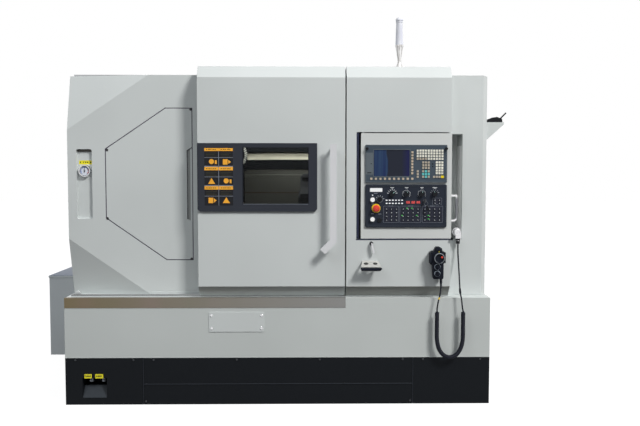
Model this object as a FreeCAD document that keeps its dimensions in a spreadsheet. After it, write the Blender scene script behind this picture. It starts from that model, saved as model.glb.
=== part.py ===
import FreeCAD, Part
import math
import os
import re

# A slant-bed turning centre in millimetres. +X runs to the operator's right, +Y to the back and
# +Z up. The origin lies on the floor, in the middle of the base's footprint. Every piece is drawn
# from the front plane of the base (y = 0 there) and placed back by half the depth of the base.

import Sketcher

Vector = FreeCAD.Vector
document = FreeCAD.newDocument("turning_centre")

# ---------------------------------------------------------------- driving dimensions

SIZES = {
    # base, measured from the floor and from the front plane
    "base_half": 1275, "base_depth": 1650, "front_y": -825, "plinth_top": 284, "base_top": 645,
    "plinth_wall": 25, "seam_left": -808, "seam_right": 811, "ridge_height": 126,
    "base_wall": 12, "bed_half": 1080, "bed_wall": 50, "bed_back": 1450, "core_high": 520,
    "valve_left": -1128, "valve_right": -1054, "valve_back": 40,
    "niche_left": -1173, "niche_right": -1028, "niche_low": 43, "niche_high": 164,
    "niche_depth": 118, "niche_step": 2, "niche_run": 44, "niche_rise": 66,
    "strip_low": 587, "strip_right": 405,
    "plate_left": -414, "plate_right": -83, "plate_low": 442, "plate_high": 561,
    # front cover on the left, set back from the front plane
    "cover_face": 110, "cover_top": 1981, "sheet": 4, "opening_left": -440,
    "facet_side_high": 1652, "facet_top_x": -783, "facet_top_back": 78,
    "facet_side_low": 992, "facet_foot_x": -777, "facet_foot_back": 85,
    "hatch_gap": 5, "hatch_rim": 16, "gauge_x": -1175, "gauge_height": 1404,
    "pocket_left": -1223, "pocket_right": -1128, "pocket_low": 1113, "pocket_high": 1535,
    # door and operator cabinet share one section
    "door_left": -474, "door_right": 400, "door_back": 92, "face_low": 715, "face_high": 1954,
    "head_high": 2024, "head_back": 46, "foot_low": 652, "foot_back": 60,
    "cabinet_left": 408, "cabinet_right": 1030, "cabinet_back": 284,
    "glass_left": -204, "glass_right": 181, "glass_low": 1209, "glass_high": 1541,
    "frame_left": -474, "frame_right": 234, "frame_low": 1164, "frame_high": 1568,
    "frame_thick": 12, "track_back": 210, "track_high": 1993,
    # door handle
    "handle_left": 308, "handle_wide": 39, "handle_high": 1561, "handle_bend": 991,
    "handle_reach": 65, "handle_thick": 10,
    # right-hand cover
    "side_face": 100, "side_edge": 1242, "side_chamfer": 45,
    # recess and swivelling panel
    "recess_left": 467, "recess_right": 1118, "recess_low": 997, "recess_high": 1634,
    "recess_back": 258, "panel_left": 494, "panel_right": 1034, "panel_low": 1002,
    "panel_high": 1628, "panel_deep": 180, "pivot_x": 506, "pivot_y": 14, "pivot_r_pin": 8,
    "unit_left": 519, "unit_right": 1004, "unit_low": 1335, "unit_high": 1559,
    "board_low": 1069, "board_high": 1325, "bezel": 9,
    # slanted bed: distances along the slope and square to it are taken from the spindle axis
    "spindle_y": 480, "spindle_z": 1030, "slant": 30, "bed_drop": 330, "rail_tall": 35,
    "chuck_radius": 105, "turret_radius": 170, "turret_x": 125, "turret_out": 350,
    # sheet lining of the work space
    "liner_left": -342, "liner_back": 1262, "liner_front": 300, "liner_high": 1624,
    # signal tower
    "tower_x": 733, "tower_y": 130,
    # pendant
    "pendant_x": 950, "wheel_height": 892,
    # coolant tank
    "tank_left": -1796, "tank_right": -1275, "tank_front": 1175, "tank_back": 1750,
    "tank_high": 609,
    # tool tray on the right wall, and the wash gun in it
    "tray_front": 200, "tray_back": 420, "tray_reach": 121, "tray_high": 1708,
    "gun_middle": 300, "trigger_x": 1361, "trigger_z": 1706, "trigger_pin": 2.5,
    # free running clearance of small shafts and stems
    "running": 0.1,
    # cord of the pendant: the wire, and the bow that its curls follow
    "cord_radius": 3.2, "cord_front": -40, "curl_middle": 1025, "curl_high": 560,
    "curl_start": 573, "curl_spread": 78, "curl_leg": 99, "curl_depth": 157,
    "curl_radius": 8, "curl_count": 24,
}

sheet = document.addObject("Spreadsheet::Sheet", "sizes")
for row, (word, number) in enumerate(SIZES.items(), start=1):
    sheet.set(f"A{row}", word)
    sheet.set(f"B{row}", str(number))
    sheet.setAlias(f"B{row}", word)
document.recompute()

# ---------------------------------------------------------------- helpers

parts = []
AXES = {"XY": (1, "XY_Plane"), "XZ": (-1, "XZ_Plane"), "YZ": (1, "YZ_Plane")}


def bound(value):
    """Write an expression whose words are cells of the sheet."""
    def cell(match):
        word = match.group(0)
        return "sizes." + word if word in SIZES else word
    return re.sub(r"[a-z][a-z_]*", cell, str(value))


def bind(thing, prop, value):
    """Bind a property to the sheet, or to a plain number."""
    thing.setExpression(prop, bound(value))


def new_body(name):
    """Start a sub-part."""
    body = document.addObject("PartDesign::Body", name)
    body.Label = name
    keep(body)
    return body


def keep(thing, x=0, y=0, z=0):
    """Note a finished sub-part and place it behind the front plane."""
    bind(thing, ".Placement.Base.x", x)
    bind(thing, ".Placement.Base.y", f"front_y + {y}")
    bind(thing, ".Placement.Base.z", z)
    parts.append(thing)
    return thing


def new_sketch(body, plane, start):
    """Attach a sketch to an origin plane of its body, moved along the positive axis."""
    side, role = AXES[plane]
    sketch = body.newObject("Sketcher::SketchObject", body.Name + "_sketch")
    origin = [item for item in body.Origin.OriginFeatures if item.Role == role][0]
    sketch.AttachmentSupport = (origin, [""])
    sketch.MapMode = "FlatFace"
    bind(sketch, ".AttachmentOffset.Base.z", start if side == 1 else f"-({start})")
    return sketch


def fix_point(sketch, line, end, across, up):
    """Hold one point of the sketch at a place given by the sheet."""
    for kind, value in (("DistanceX", across), ("DistanceY", up)):
        number = sketch.addConstraint(Sketcher.Constraint(kind, line, end, 1.0))
        bind(sketch, f"Constraints[{number}]", value)


def outline(sketch, points):
    """Draw a closed run of straight lines through points given by the sheet."""
    count = len(points)
    first = sketch.GeometryCount
    turn = 2 * math.pi / count
    corners = [Vector(math.cos(turn * step), math.sin(turn * step), 0) for step in range(count)]
    for step in range(count):
        sketch.addGeometry(Part.LineSegment(corners[step], corners[(step + 1) % count]), False)
    for step in range(count):
        after = first + (step + 1) % count
        sketch.addConstraint(Sketcher.Constraint("Coincident", first + step, 2, after, 1))
        fix_point(sketch, first + step, 1, *points[step])


def rectangle(left, low, right, high):
    """Corners of an upright rectangle."""
    return [(left, low), (right, low), (right, high), (left, high)]


def ring(sketch, across, up, radius):
    """Draw a circle given by the sheet."""
    number = sketch.addGeometry(Part.Circle(Vector(0, 0, 0), Vector(0, 0, 1), 1.0), False)
    fix_point(sketch, number, 3, across, up)
    size = sketch.addConstraint(Sketcher.Constraint("Radius", number, 1.0))
    bind(sketch, f"Constraints[{size}]", radius)


def extrude(body, sketch, plane, length):
    """Pad a sketch towards the positive axis."""
    feature = body.newObject("PartDesign::Pad", body.Name + "_pad")
    feature.Profile = sketch
    bind(feature, "Length", length)
    feature.Reversed = AXES[plane][0] == -1
    sketch.Visibility = False
    return feature


def sink(body, sketch, plane, length):
    """Pocket a sketch towards the positive axis."""
    feature = body.newObject("PartDesign::Pocket", body.Name + "_pocket")
    feature.Profile = sketch
    bind(feature, "Length", length)
    feature.Reversed = AXES[plane][0] == 1
    sketch.Visibility = False
    return feature


def slab(body, plane, points, start, length):
    """Add material with a straight-sided outline."""
    sketch = new_sketch(body, plane, start)
    outline(sketch, points)
    return extrude(body, sketch, plane, length)


def notch(body, plane, points, start, length):
    """Take material away with a straight-sided outline."""
    sketch = new_sketch(body, plane, start)
    outline(sketch, points)
    return sink(body, sketch, plane, length)


def slabs(body, plane, outlines, start, length):
    """Add several like pieces of material at once."""
    sketch = new_sketch(body, plane, start)
    for points in outlines:
        outline(sketch, points)
    return extrude(body, sketch, plane, length)


def notches(body, plane, outlines, start, length):
    """Take several like pieces of material away at once."""
    sketch = new_sketch(body, plane, start)
    for points in outlines:
        outline(sketch, points)
    return sink(body, sketch, plane, length)


def discs(body, plane, circles, start, length):
    """Add round bosses."""
    sketch = new_sketch(body, plane, start)
    for circle in circles:
        ring(sketch, *circle)
    return extrude(body, sketch, plane, length)


def bores(body, plane, circles, start, length):
    """Take round holes away."""
    sketch = new_sketch(body, plane, start)
    for circle in circles:
        ring(sketch, *circle)
    return sink(body, sketch, plane, length)


def turned(body, plane, points, axis):
    """Revolve an outline about an axis of its sketch: H_Axis or V_Axis."""
    sketch = new_sketch(body, plane, 0)
    outline(sketch, points)
    feature = body.newObject("PartDesign::Revolution", body.Name + "_turned")
    feature.Profile = sketch
    feature.ReferenceAxis = (sketch, [axis])
    feature.Angle = 360
    sketch.Visibility = False
    return feature


def round_edges(body, choose, radius, kind="Fillet"):
    """Fillet or chamfer the edges of the body so far that choose picks."""
    document.recompute()
    base = body.Tip
    names = [f"Edge{n}" for n, edge in enumerate(base.Shape.Edges, start=1) if choose(edge)]
    feature = body.newObject("PartDesign::" + kind, body.Name + "_" + kind.lower())
    feature.Base = (base, names)
    bind(feature, "Radius" if kind == "Fillet" else "Size", radius)
    base.Visibility = False
    return feature


def along(edge, axis):
    """True for a straight edge that runs along an axis."""
    if not isinstance(edge.Curve, (Part.Line, Part.LineSegment)):
        return False
    run = edge.Vertexes[-1].Point - edge.Vertexes[0].Point
    return run.Length > 0.1 and abs(abs(run.normalize().dot(axis)) - 1) < 1e-6


def in_a_row(body, feature, axis, count, gap):
    """Repeat a feature along an origin axis: count times, gap apart."""
    pattern = body.newObject("PartDesign::LinearPattern", body.Name + "_row")
    pattern.Originals = [feature]
    line = [item for item in body.Origin.OriginFeatures if item.Role == axis + "_Axis"][0]
    pattern.Direction = (line, [""])
    pattern.Mode = "Spacing"
    pattern.Occurrences = count
    bind(pattern, "Offset", gap)
    body.Tip = pattern
    return pattern


def round_the_axis(body, feature, axis, count):
    """Repeat a feature evenly about an origin axis."""
    pattern = body.newObject("PartDesign::PolarPattern", body.Name + "_polar")
    pattern.Originals = [feature]
    line = [item for item in body.Origin.OriginFeatures if item.Role == axis + "_Axis"][0]
    pattern.Axis = (line, [""])
    pattern.Angle = 360
    pattern.Occurrences = count
    body.Tip = pattern
    return pattern


def slant_body(name, along_slope=0, x=0):
    """Start a sub-part drawn along the bed's slope: local y runs up the slope, z square to it."""
    body = document.addObject("PartDesign::Body", name)
    body.Label = name
    parts.append(body)
    body.Placement = FreeCAD.Placement(Vector(0, 0, 0), FreeCAD.Rotation(Vector(1, 0, 0), 30))
    bind(body, ".Placement.Rotation.Angle", "slant")
    bind(body, ".Placement.Base.x", x)
    bind(body, ".Placement.Base.y", f"front_y + spindle_y + {along_slope} * cos(slant)")
    bind(body, ".Placement.Base.z", f"spindle_z + {along_slope} * sin(slant)")
    return body


def size(word):
    """Read a driving dimension."""
    return float(sheet.get(word))


# ---------------------------------------------------------------- base

def make_plinth():
    """Black skirt round the foot of the machine, with the drain niche."""
    body = new_body("plinth_skirt")
    slab(body, "XY", rectangle("-base_half", 0, "base_half", "base_depth"), 0, "plinth_top")
    inner = rectangle("-base_half + plinth_wall", "plinth_wall",
                      "base_half - plinth_wall", "base_depth - plinth_wall")
    notch(body, "XY", inner, 0, "plinth_top")
    rim = 14
    slab(body, "XZ", rectangle(f"niche_left - {rim}", f"niche_low - {rim}",
                               f"niche_right + {rim}", f"niche_high + {rim}"),
         20, "niche_depth - 8")
    notch(body, "XZ", rectangle("niche_left", "niche_low", "niche_right", "niche_high"),
          0, "niche_depth")
    slab(body, "YZ", [("niche_step", "niche_low"), ("niche_depth", "niche_low"),
                      ("niche_depth", "niche_low + niche_rise"),
                      ("niche_run", "niche_low + niche_rise")],
         "niche_left", "niche_right - niche_left")
    groove = 3
    seams = [rectangle(f"{word} - {groove} / 2", 0, f"{word} + {groove} / 2", "plinth_top")
             for word in ("seam_left", "seam_right")]
    notches(body, "XZ", seams, 0, groove)
    ridge = 4
    slab(body, "XZ", rectangle("seam_left + 6", f"ridge_height - {ridge}", "seam_right - 6",
                               f"ridge_height + {ridge}"), -3, 4)


def make_drain_plugs():
    """Two valve stems that hang from the roof of the niche."""
    body = new_body("drain_plugs")
    stem, collar, handle = 9, 13, 5
    for x in ("valve_left", "valve_right"):
        discs(body, "XY", [(x, "valve_back", stem)], "niche_high - 12", 12)
        discs(body, "XY", [(x, "valve_back", collar)], "niche_high - 30", 18)
        discs(body, "XZ", [(x, "niche_high - 21", handle)], "valve_back - 26", 26)


def make_base():
    """Light painted casing on the plinth, with the ledge in front of the bed."""
    body = new_body("base_casing")
    slab(body, "XY", rectangle("-base_half", 0, "base_half", "base_depth"), "plinth_top",
         "base_top - plinth_top")
    inner = rectangle("-base_half + base_wall", "base_wall", "base_half - base_wall",
                      "base_depth - base_wall")
    notch(body, "XY", inner, "plinth_top", "base_top - plinth_top - base_wall")
    ledge = 330
    notch(body, "XY", rectangle("-base_half + 120", ledge, "base_half - 120", "base_depth - 40"),
          "base_top - base_wall", "base_wall")
    plate = new_body("base_cover_plate")
    slab(plate, "XZ", rectangle("plate_left", "plate_low", "plate_right", "plate_high"), -3, 3)
    round_edges(plate, lambda edge: along(edge, Vector(0, 1, 0)), 6)
    strip = new_body("steel_strip")
    slab(strip, "YZ", [(-2, "strip_low"), (0, "strip_low"), (0, "base_top"), (30, "base_top"),
                       (30, "base_top + 2"), (-2, "base_top + 2")],
         "-base_half + 2", "strip_right + base_half - 2")


BED_CREST = "spindle_z + 700 * sin(slant) - bed_drop * cos(slant)"
BED_FOOT = "spindle_z - 250 * sin(slant) - bed_drop * cos(slant)"


def bed_y(level):
    """How far back the sloping face of the bed is at a given level."""
    rise = f"{level} - spindle_z + bed_drop * cos(slant)"
    return f"spindle_y + bed_drop * sin(slant) + ({rise}) / tan(slant)"


def make_bed():
    """Cast bed: a wedge whose top lies along the slope, open below between its ribs."""
    body = new_body("bed_casting")
    slab(body, "YZ", [(bed_y(BED_FOOT), 0), ("bed_back", 0), ("bed_back", BED_CREST),
                      (bed_y(BED_CREST), BED_CREST), (bed_y(BED_FOOT), BED_FOOT)],
         "-bed_half", "2 * bed_half")
    front = 500
    rib = 60
    cores = [rectangle("-bed_half + bed_wall", front, f"-{rib}", "bed_back - bed_wall"),
             rectangle(rib, front, "bed_half - bed_wall", "bed_back - bed_wall")]
    notches(body, "XY", cores, 0, "core_high")
    rails = slant_body("z_guideways")
    waist = 7
    for low in (40, 560):
        high = low + 45
        slab(rails, "YZ", [(low, "-bed_drop"), (high, "-bed_drop"),
                           (high - waist, "-bed_drop + 15"), (high, "-bed_drop + rail_tall"),
                           (low, "-bed_drop + rail_tall"), (low + waist, "-bed_drop + 15")],
             -300, 1340)


# ---------------------------------------------------------------- machine inside the covers

def make_headstock():
    """Box that carries the spindle, with its nose ring and motor housing behind."""
    body = slant_body("headstock")
    slab(body, "YZ", [(-190, "-bed_drop"), (270, "-bed_drop"), (270, 110), (190, 190),
                      (-110, 190), (-190, 110)], -1040, 680)
    discs(body, "YZ", [(0, 0, 130)], -360, 25)
    bores(body, "YZ", [(0, 0, 70.05)], -420, 90)


def make_chuck():
    """Power chuck with its spindle nose; the body turns about the local X axis."""
    body = slant_body("chuck")
    turned(body, "XZ", [(-410, 0), (-410, 70), (-330, 70), (-330, "chuck_radius"),
                        (-322, "chuck_radius + 5"), (-180, "chuck_radius + 5"),
                        (-170, "chuck_radius - 5"), (-170, 24), (-240, 24), (-240, 0)], "H_Axis")
    slot = notch(body, "YZ", [(-14, 30), (14, 30), (14, 120), (-14, 120)], -200, 31)
    round_the_axis(body, slot, "X", 3)


def make_jaws():
    """Three stepped jaws, 120 degrees apart, each in its own slot of the chuck."""
    for number in range(3):
        body = slant_body(f"chuck_jaw_{number + 1}")
        body.Placement = FreeCAD.Placement(Vector(0, 0, 0),
                                           FreeCAD.Rotation(Vector(1, 0, 0), 30 + 120 * number))
        bind(body, ".Placement.Rotation.Angle", f"slant + {120 * number}")
        slab(body, "XZ", [(-199.8, 45), (-160, 45), (-160, 40), (-134, 40), (-134, 66),
                          (-150, 66), (-150, 88), (-166, 88), (-166, 100), (-199.8, 100)],
             -13.8, 27.6)


def make_saddle():
    """Carriage on the two ways, with slots that clear them by half a millimetre."""
    body = slant_body("saddle")
    low = "-bed_drop + rail_tall + 0.5"
    slab(body, "YZ", [(0, low), (640, low), (640, -215), (600, -205), (40, -205), (0, -215)],
         180, 320)
    slide = slant_body("cross_slide")
    slab(slide, "YZ", [(170, -204.5), (600, -204.5), (600, -130), (480, -110), (480, 95),
                       (455, 120), (245, 120), (220, 95), (220, -110), (170, -130)], 228, 212)
    bores(slide, "YZ", [("turret_out", 0, 60.05)], 228, 60)
    discs(slide, "YZ", [("turret_out", 0, 95)], 440, 120)


def make_turret():
    """Twelve-sided tool disc with slots and tool blocks, about its own axis."""
    body = slant_body("turret_disc", "turret_out")
    reach = size("turret_radius") / math.cos(math.radians(15))
    corners = [(reach * math.cos(math.radians(15 + 30 * n)),
                reach * math.sin(math.radians(15 + 30 * n))) for n in range(12)]
    slab(body, "YZ", corners, "turret_x", 100)
    discs(body, "YZ", [(0, 0, 60)], "turret_x + 100", 55)
    discs(body, "YZ", [(0, 0, 62)], "turret_x - 14", 14)
    block = slab(body, "YZ", rectangle(-24, "turret_radius - 30", 24, "turret_radius + 27"),
                 "turret_x + 14", 58)
    round_the_axis(body, block, "X", 6)
    bolt = bores(body, "YZ", [(0, "turret_radius - 52", 11)], "turret_x - 1", 26)
    round_the_axis(body, bolt, "X", 12)


def make_tailstock():
    """Tailstock on the ways, with its quill and live centre."""
    body = slant_body("tailstock")
    slab(body, "YZ", [(-130, "-bed_drop + 0.5"), (32, "-bed_drop + 0.5"),
                      (32, "-bed_drop + rail_tall + 5"), (110, "-bed_drop + rail_tall + 5"),
                      (90, 70), (60, 100), (-60, 100), (-90, 70)], 660, 240)
    discs(body, "YZ", [(0, 0, 52)], 575, 85)
    sketch = new_sketch(body, "XZ", 0)
    outline(sketch, [(575, 0), (575, 30), (545, 30), (500, 1), (500, 0)])
    feature = body.newObject("PartDesign::Revolution", "tailstock_point")
    feature.Profile = sketch
    feature.ReferenceAxis = (sketch, ["H_Axis"])
    feature.Angle = 360


def make_liner():
    """Bright sheet behind and over the work space, with the end wall on the left."""
    body = new_body("chamber_liner")
    high = "liner_high + 130"
    side = [(130, "base_top"), (bed_y("base_top"), "base_top"), (bed_y(BED_CREST), BED_CREST),
            ("liner_back", BED_CREST), ("liner_back", "liner_high"), ("liner_front", high),
            (130, high)]
    slab(body, "YZ", side, "liner_left", 1360)
    round_edges(body, lambda edge: along(edge, Vector(1, 0, 0))
                and abs(edge.Vertexes[0].Point.y - size("liner_back")) < 0.5
                and edge.Vertexes[0].Point.z > size("liner_high") - 1, 260)
    document.recompute()
    base = body.Tip
    kept = []
    for number, face in enumerate(base.Shape.Faces, start=1):
        centre = face.CenterOfMass
        behind = centre.y > size("liner_front") + 100 and centre.z > size("spindle_z") + 200
        if centre.x < size("liner_left") + 1 or (behind and centre.x < 1000):
            kept.append(f"Face{number}")
    names = [f"Face{number}" for number in range(1, len(base.Shape.Faces) + 1)]
    shell = body.newObject("PartDesign::Thickness", "chamber_liner_shell")
    shell.Base = (base, [name for name in names if name not in kept])
    shell.Value = 3
    shell.Reversed = True
    shell.Join = "Intersection"
    base.Visibility = False
    notch(body, "XY", rectangle("liner_left + 3", 129, 1100, "liner_front"), "liner_high", 140)
    bores(body, "YZ", [("spindle_y", "spindle_z", 138)], "liner_left", 3)


# ---------------------------------------------------------------- covers

def tilted_box(name, first, second, third, reach):
    """Box that covers everything on the outer side of the plane through three points."""
    normal = (second - first).cross(third - first)
    normal.normalize()
    middle = (first + second + third) / 3
    box = document.addObject("Part::Box", name)
    box.Length = reach
    box.Width = reach
    box.Height = reach
    turn = FreeCAD.Rotation(Vector(0, 0, 1), normal)
    corner = middle - turn.multVec(Vector(reach / 2, reach / 2, 0))
    box.Placement = FreeCAD.Placement(corner, turn)
    box.Visibility = False
    return box


def make_left_cover():
    """Folded front and side cover with two cut-back corners, a hatch opening and a gauge recess."""
    left = -size("base_half")
    face = size("cover_face")
    top = size("cover_top")
    foot = size("base_top")
    block = document.addObject("Part::Box", "left_cover_block")
    bind(block, "Length", "base_half + opening_left")
    bind(block, "Width", "base_depth - cover_face")
    bind(block, "Height", "cover_top - base_top")
    bind(block, ".Placement.Base.x", "-base_half")
    bind(block, ".Placement.Base.y", "cover_face")
    bind(block, ".Placement.Base.z", "base_top")
    upper = tilted_box("left_cover_upper_cut", Vector(left, face, size("facet_side_high")),
                       Vector(size("facet_top_x"), face, top),
                       Vector(left, face + size("facet_top_back"), top), 2400)
    lower = tilted_box("left_cover_lower_cut", Vector(size("facet_foot_x"), face, foot),
                       Vector(left, face, size("facet_side_low")),
                       Vector(left, face + size("facet_foot_back"), foot), 2400)
    first = document.addObject("Part::Cut", "left_cover_cut_1")
    first.Base = block
    first.Tool = upper
    second = document.addObject("Part::Cut", "left_cover_cut_2")
    second.Base = first
    second.Tool = lower
    document.recompute()
    open_sides = []
    for number, side in enumerate(second.Shape.Faces, start=1):
        centre = side.CenterOfMass
        if (centre.x > size("opening_left") - 1 or centre.y > size("base_depth") - 1
                or centre.z < foot + 1):
            open_sides.append(f"Face{number}")
    shell = document.addObject("Part::Thickness", "left_cover_shell")
    shell.Faces = (second, open_sides)
    shell.Value = -size("sheet")
    shell.Join = 2
    document.recompute()
    body = new_body("left_cover")
    body.BaseFeature = shell
    document.recompute()
    notch(body, "XZ", hatch_outline("0"), "cover_face - 1", "sheet + 2")
    slab(body, "XZ", hatch_outline("12"), "cover_face + sheet", 3)
    notch(body, "XZ", hatch_outline("-hatch_rim"), "cover_face + sheet", 3)
    slab(body, "XZ", rectangle(-572, 1070, -500, 1572), "cover_face + sheet + 3", 3)
    pocket = ("pocket_left", "pocket_low", "pocket_right", "pocket_high")
    left_side, low_side, right_side, high_side = (size(word) for word in pocket)
    wall = 7
    slab(body, "XZ", rectangle(f"pocket_left - {wall}", f"pocket_low - {wall}",
                               f"pocket_right + {wall}", f"pocket_high + {wall}"),
         "cover_face + 1", 24)
    notch(body, "XZ", rectangle(*pocket), "cover_face - 1", 21)
    round_edges(body, lambda edge: along(edge, Vector(0, 1, 0))
                and min(abs(edge.Vertexes[0].Point.x - left_side),
                        abs(edge.Vertexes[0].Point.x - right_side)) < 0.5
                and min(abs(edge.Vertexes[0].Point.z - low_side),
                        abs(edge.Vertexes[0].Point.z - high_side)) < 0.5, 12)


def hatch_outline(grow):
    """Six corners of the access hatch, moved outwards by grow."""
    return [(f"-684 - 0.32 * ({grow})", f"1785 + {grow}"), (f"-519 + {grow}", f"1785 + {grow}"),
            (f"-519 + {grow}", f"860 - ({grow})"), (f"-683 - 0.32 * ({grow})", f"860 - ({grow})"),
            (f"-1049 - ({grow})", f"1116 - 0.64 * ({grow})"),
            (f"-1049 - ({grow})", f"1538 + 0.64 * ({grow})")]


def make_hatch():
    """Screwed access cover in the left cover, with a finger recess on its right edge."""
    body = new_body("access_cover")
    slab(body, "XZ", hatch_outline("-hatch_gap"), "cover_face", "sheet")
    notch(body, "XZ", [(-555, 1111), (-519, 1091), (-519, 1552), (-555, 1529)],
          "cover_face - 1", "sheet + 2")


def make_gauge():
    """Air pressure gauge in the recess, and its needle."""
    body = new_body("pressure_gauge")
    discs(body, "XZ", [("gauge_x", "gauge_height", 33)], "cover_face + 2", 18)
    bores(body, "XZ", [("gauge_x", "gauge_height", 28)], "cover_face + 2", 5)
    discs(body, "XZ", [("gauge_x", "gauge_height", 3)], "cover_face + 4.5", 3)
    bores(body, "XZ", [("gauge_x", "gauge_height", "1 + running")], "cover_face + 4", 4)
    needle = own_body("gauge_needle", "gauge_x", "cover_face", "gauge_height")
    discs(needle, "XZ", [(0, 0, 3.5)], 2.4, 1.6)
    discs(needle, "XZ", [(0, 0, 1)], 2.4, 4.6)
    slab(needle, "XZ", [(-2, -9), (2, -9), (0.6, 22), (-0.6, 22)], 2.8, 0.8)


def make_right_cover():
    """Right-hand cover with a cut-back corner and the outer part of the panel's recess."""
    body = new_body("right_cover")
    back = "base_depth"
    plan = [("cabinet_right", "side_face"), ("side_edge", "side_face"),
            ("base_half", "side_face + side_chamfer"), ("base_half", back),
            ("base_half - sheet", back), ("base_half - sheet", "side_face + side_chamfer + 2"),
            ("side_edge - 2", "side_face + sheet"), ("cabinet_right", "side_face + sheet")]
    slab(body, "XY", plan, "base_top", "cover_top - base_top - sheet")
    roof = plan[:3] + [("base_half", back), ("cabinet_right", back)]
    slab(body, "XY", roof, "cover_top - sheet", "sheet")
    slab(body, "XZ", rectangle("cabinet_right", "recess_low - 13", "recess_right + 4",
                               "recess_high - 2"), "side_face + 1", "recess_back - side_face + 3")
    notch(body, "XZ", rectangle("cabinet_right", "recess_low - 9", "recess_right",
                                "recess_high - 6"), "side_face", "recess_back - side_face")


def make_roof():
    """Roof between the two covers, with the lip over the door opening."""
    body = new_body("roof_panel")
    slab(body, "XY", rectangle("opening_left", "cover_face", "cabinet_left - 2",
                               "base_depth"), "cover_top - sheet", "sheet")
    slab(body, "XY", rectangle("cabinet_left - 2", "cabinet_back + 2", "cabinet_right",
                               "base_depth"), "cover_top - sheet", "sheet")
    slab(body, "XZ", rectangle("opening_left", 1860, "cabinet_left - 2", "cover_top - sheet"),
         "cover_face", "sheet")
    rear = new_body("rear_panel")
    slab(rear, "XZ", rectangle("-base_half + sheet", "base_top", "base_half - sheet",
                               "cover_top - sheet"), "base_depth - sheet", "sheet")
    raised = 3
    doors = [rectangle(left, 720, right, 1900) for left, right in ((-1180, -420), (-380, 380),
                                                                   (420, 1180))]
    slabs(rear, "XZ", doors, "base_depth", raised)
    vent = notch(rear, "XZ", rectangle(500, 1460, 620, 1472), "base_depth - sheet - 1",
                 f"sheet + {raised} + 2")
    in_a_row(rear, vent, "Z", 8, 32)


def make_cabinet():
    """Operator cabinet: the door's section, with the recess for the panel."""
    body = new_body("operator_cabinet")
    section = [("foot_back", "base_top"), ("foot_back", "foot_low"), (0, "face_low"),
               (0, "face_high"), ("head_back", "head_high"), ("cabinet_back", "head_high"),
               ("cabinet_back", "base_top")]
    slab(body, "YZ", section, "cabinet_left", "cabinet_right - cabinet_left")
    notch(body, "XZ", rectangle("recess_left", "recess_low", "cabinet_right", "recess_high"),
          0, "recess_back")
    pin = [("pivot_x", "pivot_y", "pivot_r_pin + 0.05")]
    bores(body, "XY", pin, "recess_high", 12)
    bores(body, "XY", pin, "recess_low - 12", 12)


def make_track():
    """Upper rail on the roof and lower guide on the ledge, for the sliding door."""
    upper = document.addObject("Part::Box", "upper_rail")
    lower = document.addObject("Part::Box", "lower_guide")
    for box, deep, low, high in ((upper, 20, "cover_top", "track_high"),
                                 (lower, 4, "base_top", "base_top + 12")):
        bind(box, "Length", "cabinet_left - 8 + base_half - 20")
        bind(box, "Width", deep)
        bind(box, "Height", f"{high} - {low}")
        bind(box, ".Placement.Base.x", "-base_half + 20")
        bind(box, ".Placement.Base.z", low)
    bind(upper, ".Placement.Base.y", "track_back - 10")
    bind(lower, ".Placement.Base.y", 72)
    both = document.addObject("Part::MultiFuse", "door_rails")
    both.Label = "door_rails"
    both.Shapes = [upper, lower]
    keep(both)


def make_tank():
    """Coolant tank on the floor behind the left end of the base, with its lid."""
    body = new_body("coolant_tank")
    slab(body, "XY", rectangle("tank_left", "tank_front", "tank_right", "tank_back"),
         0, "tank_high - 14")
    slab(body, "XY", rectangle("tank_left - 4", "tank_front - 4", "tank_right",
                               "tank_back + 4"), "tank_high - 14", 14)
    notch(body, "XY", rectangle("tank_left + 60", "tank_front + 60", "tank_right - 60",
                                "tank_back - 220"), "tank_high - 4", 4)


# ---------------------------------------------------------------- door

def make_door():
    """Sliding door: one folded section with a window opening, hung from the rail on the roof."""
    body = new_body("door_shell")
    section = [("foot_back", "foot_low"), (0, "face_low"), (0, "face_high"),
               ("head_back", "head_high"), ("track_back + 30", "head_high"),
               ("track_back + 30", "head_high - 5"), ("door_back", "head_high - 5"),
               ("door_back", "foot_low")]
    slab(body, "YZ", section, "door_left", "door_right - door_left")
    notch(body, "XZ", rectangle("glass_left - 10", "glass_low - 10", "glass_right + 10",
                                "glass_high + 10"), 0, "door_back")
    notch(body, "YZ", rectangle(66, "foot_low - 1", 82, "foot_low + 14"), "door_left",
          "door_right - door_left")
    hangers = [rectangle(f"{x} - 45", "track_back - 22", f"{x} + 45", "track_back + 22")
               for x in ("door_left + 110", "door_right - 110")]
    slabs(body, "XY", hangers, "track_high + 1", "head_high - 5 - track_high - 1")
    frame = new_body("window_frame")
    corner = 14
    slab(frame, "XZ", [(f"frame_left + {corner}", "frame_low"),
                       (f"frame_right - {corner}", "frame_low"),
                       ("frame_right", f"frame_low + {corner}"), ("frame_right", "frame_high"),
                       ("frame_left", "frame_high"), ("frame_left", f"frame_low + {corner}")],
         "-frame_thick", "frame_thick")
    notch(frame, "XZ", rectangle("glass_left", "glass_low", "glass_right", "glass_high"),
          "-frame_thick", "frame_thick")
    glass = new_body("window_glass")
    slab(glass, "XZ", rectangle("glass_left - 9.5", "glass_low - 9.5", "glass_right + 9.5",
                                "glass_high + 9.5"), 0, 8)


def make_handle():
    """Flat bar with a cranked lower end on two round posts."""
    body = new_body("door_handle")
    slab(body, "XZ", [("handle_left", "handle_bend + 8"), (251, 944), (279, 916),
                      ("handle_left + handle_wide", "handle_bend - 8"),
                      ("handle_left + handle_wide", "handle_high"),
                      ("handle_left", "handle_high")], "-handle_reach", "handle_thick")
    discs(body, "XZ", [(327.5, 1538, 11), (280, 948, 11)], "-handle_reach + handle_thick",
          "handle_reach - handle_thick")


# ---------------------------------------------------------------- operator panel

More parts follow.
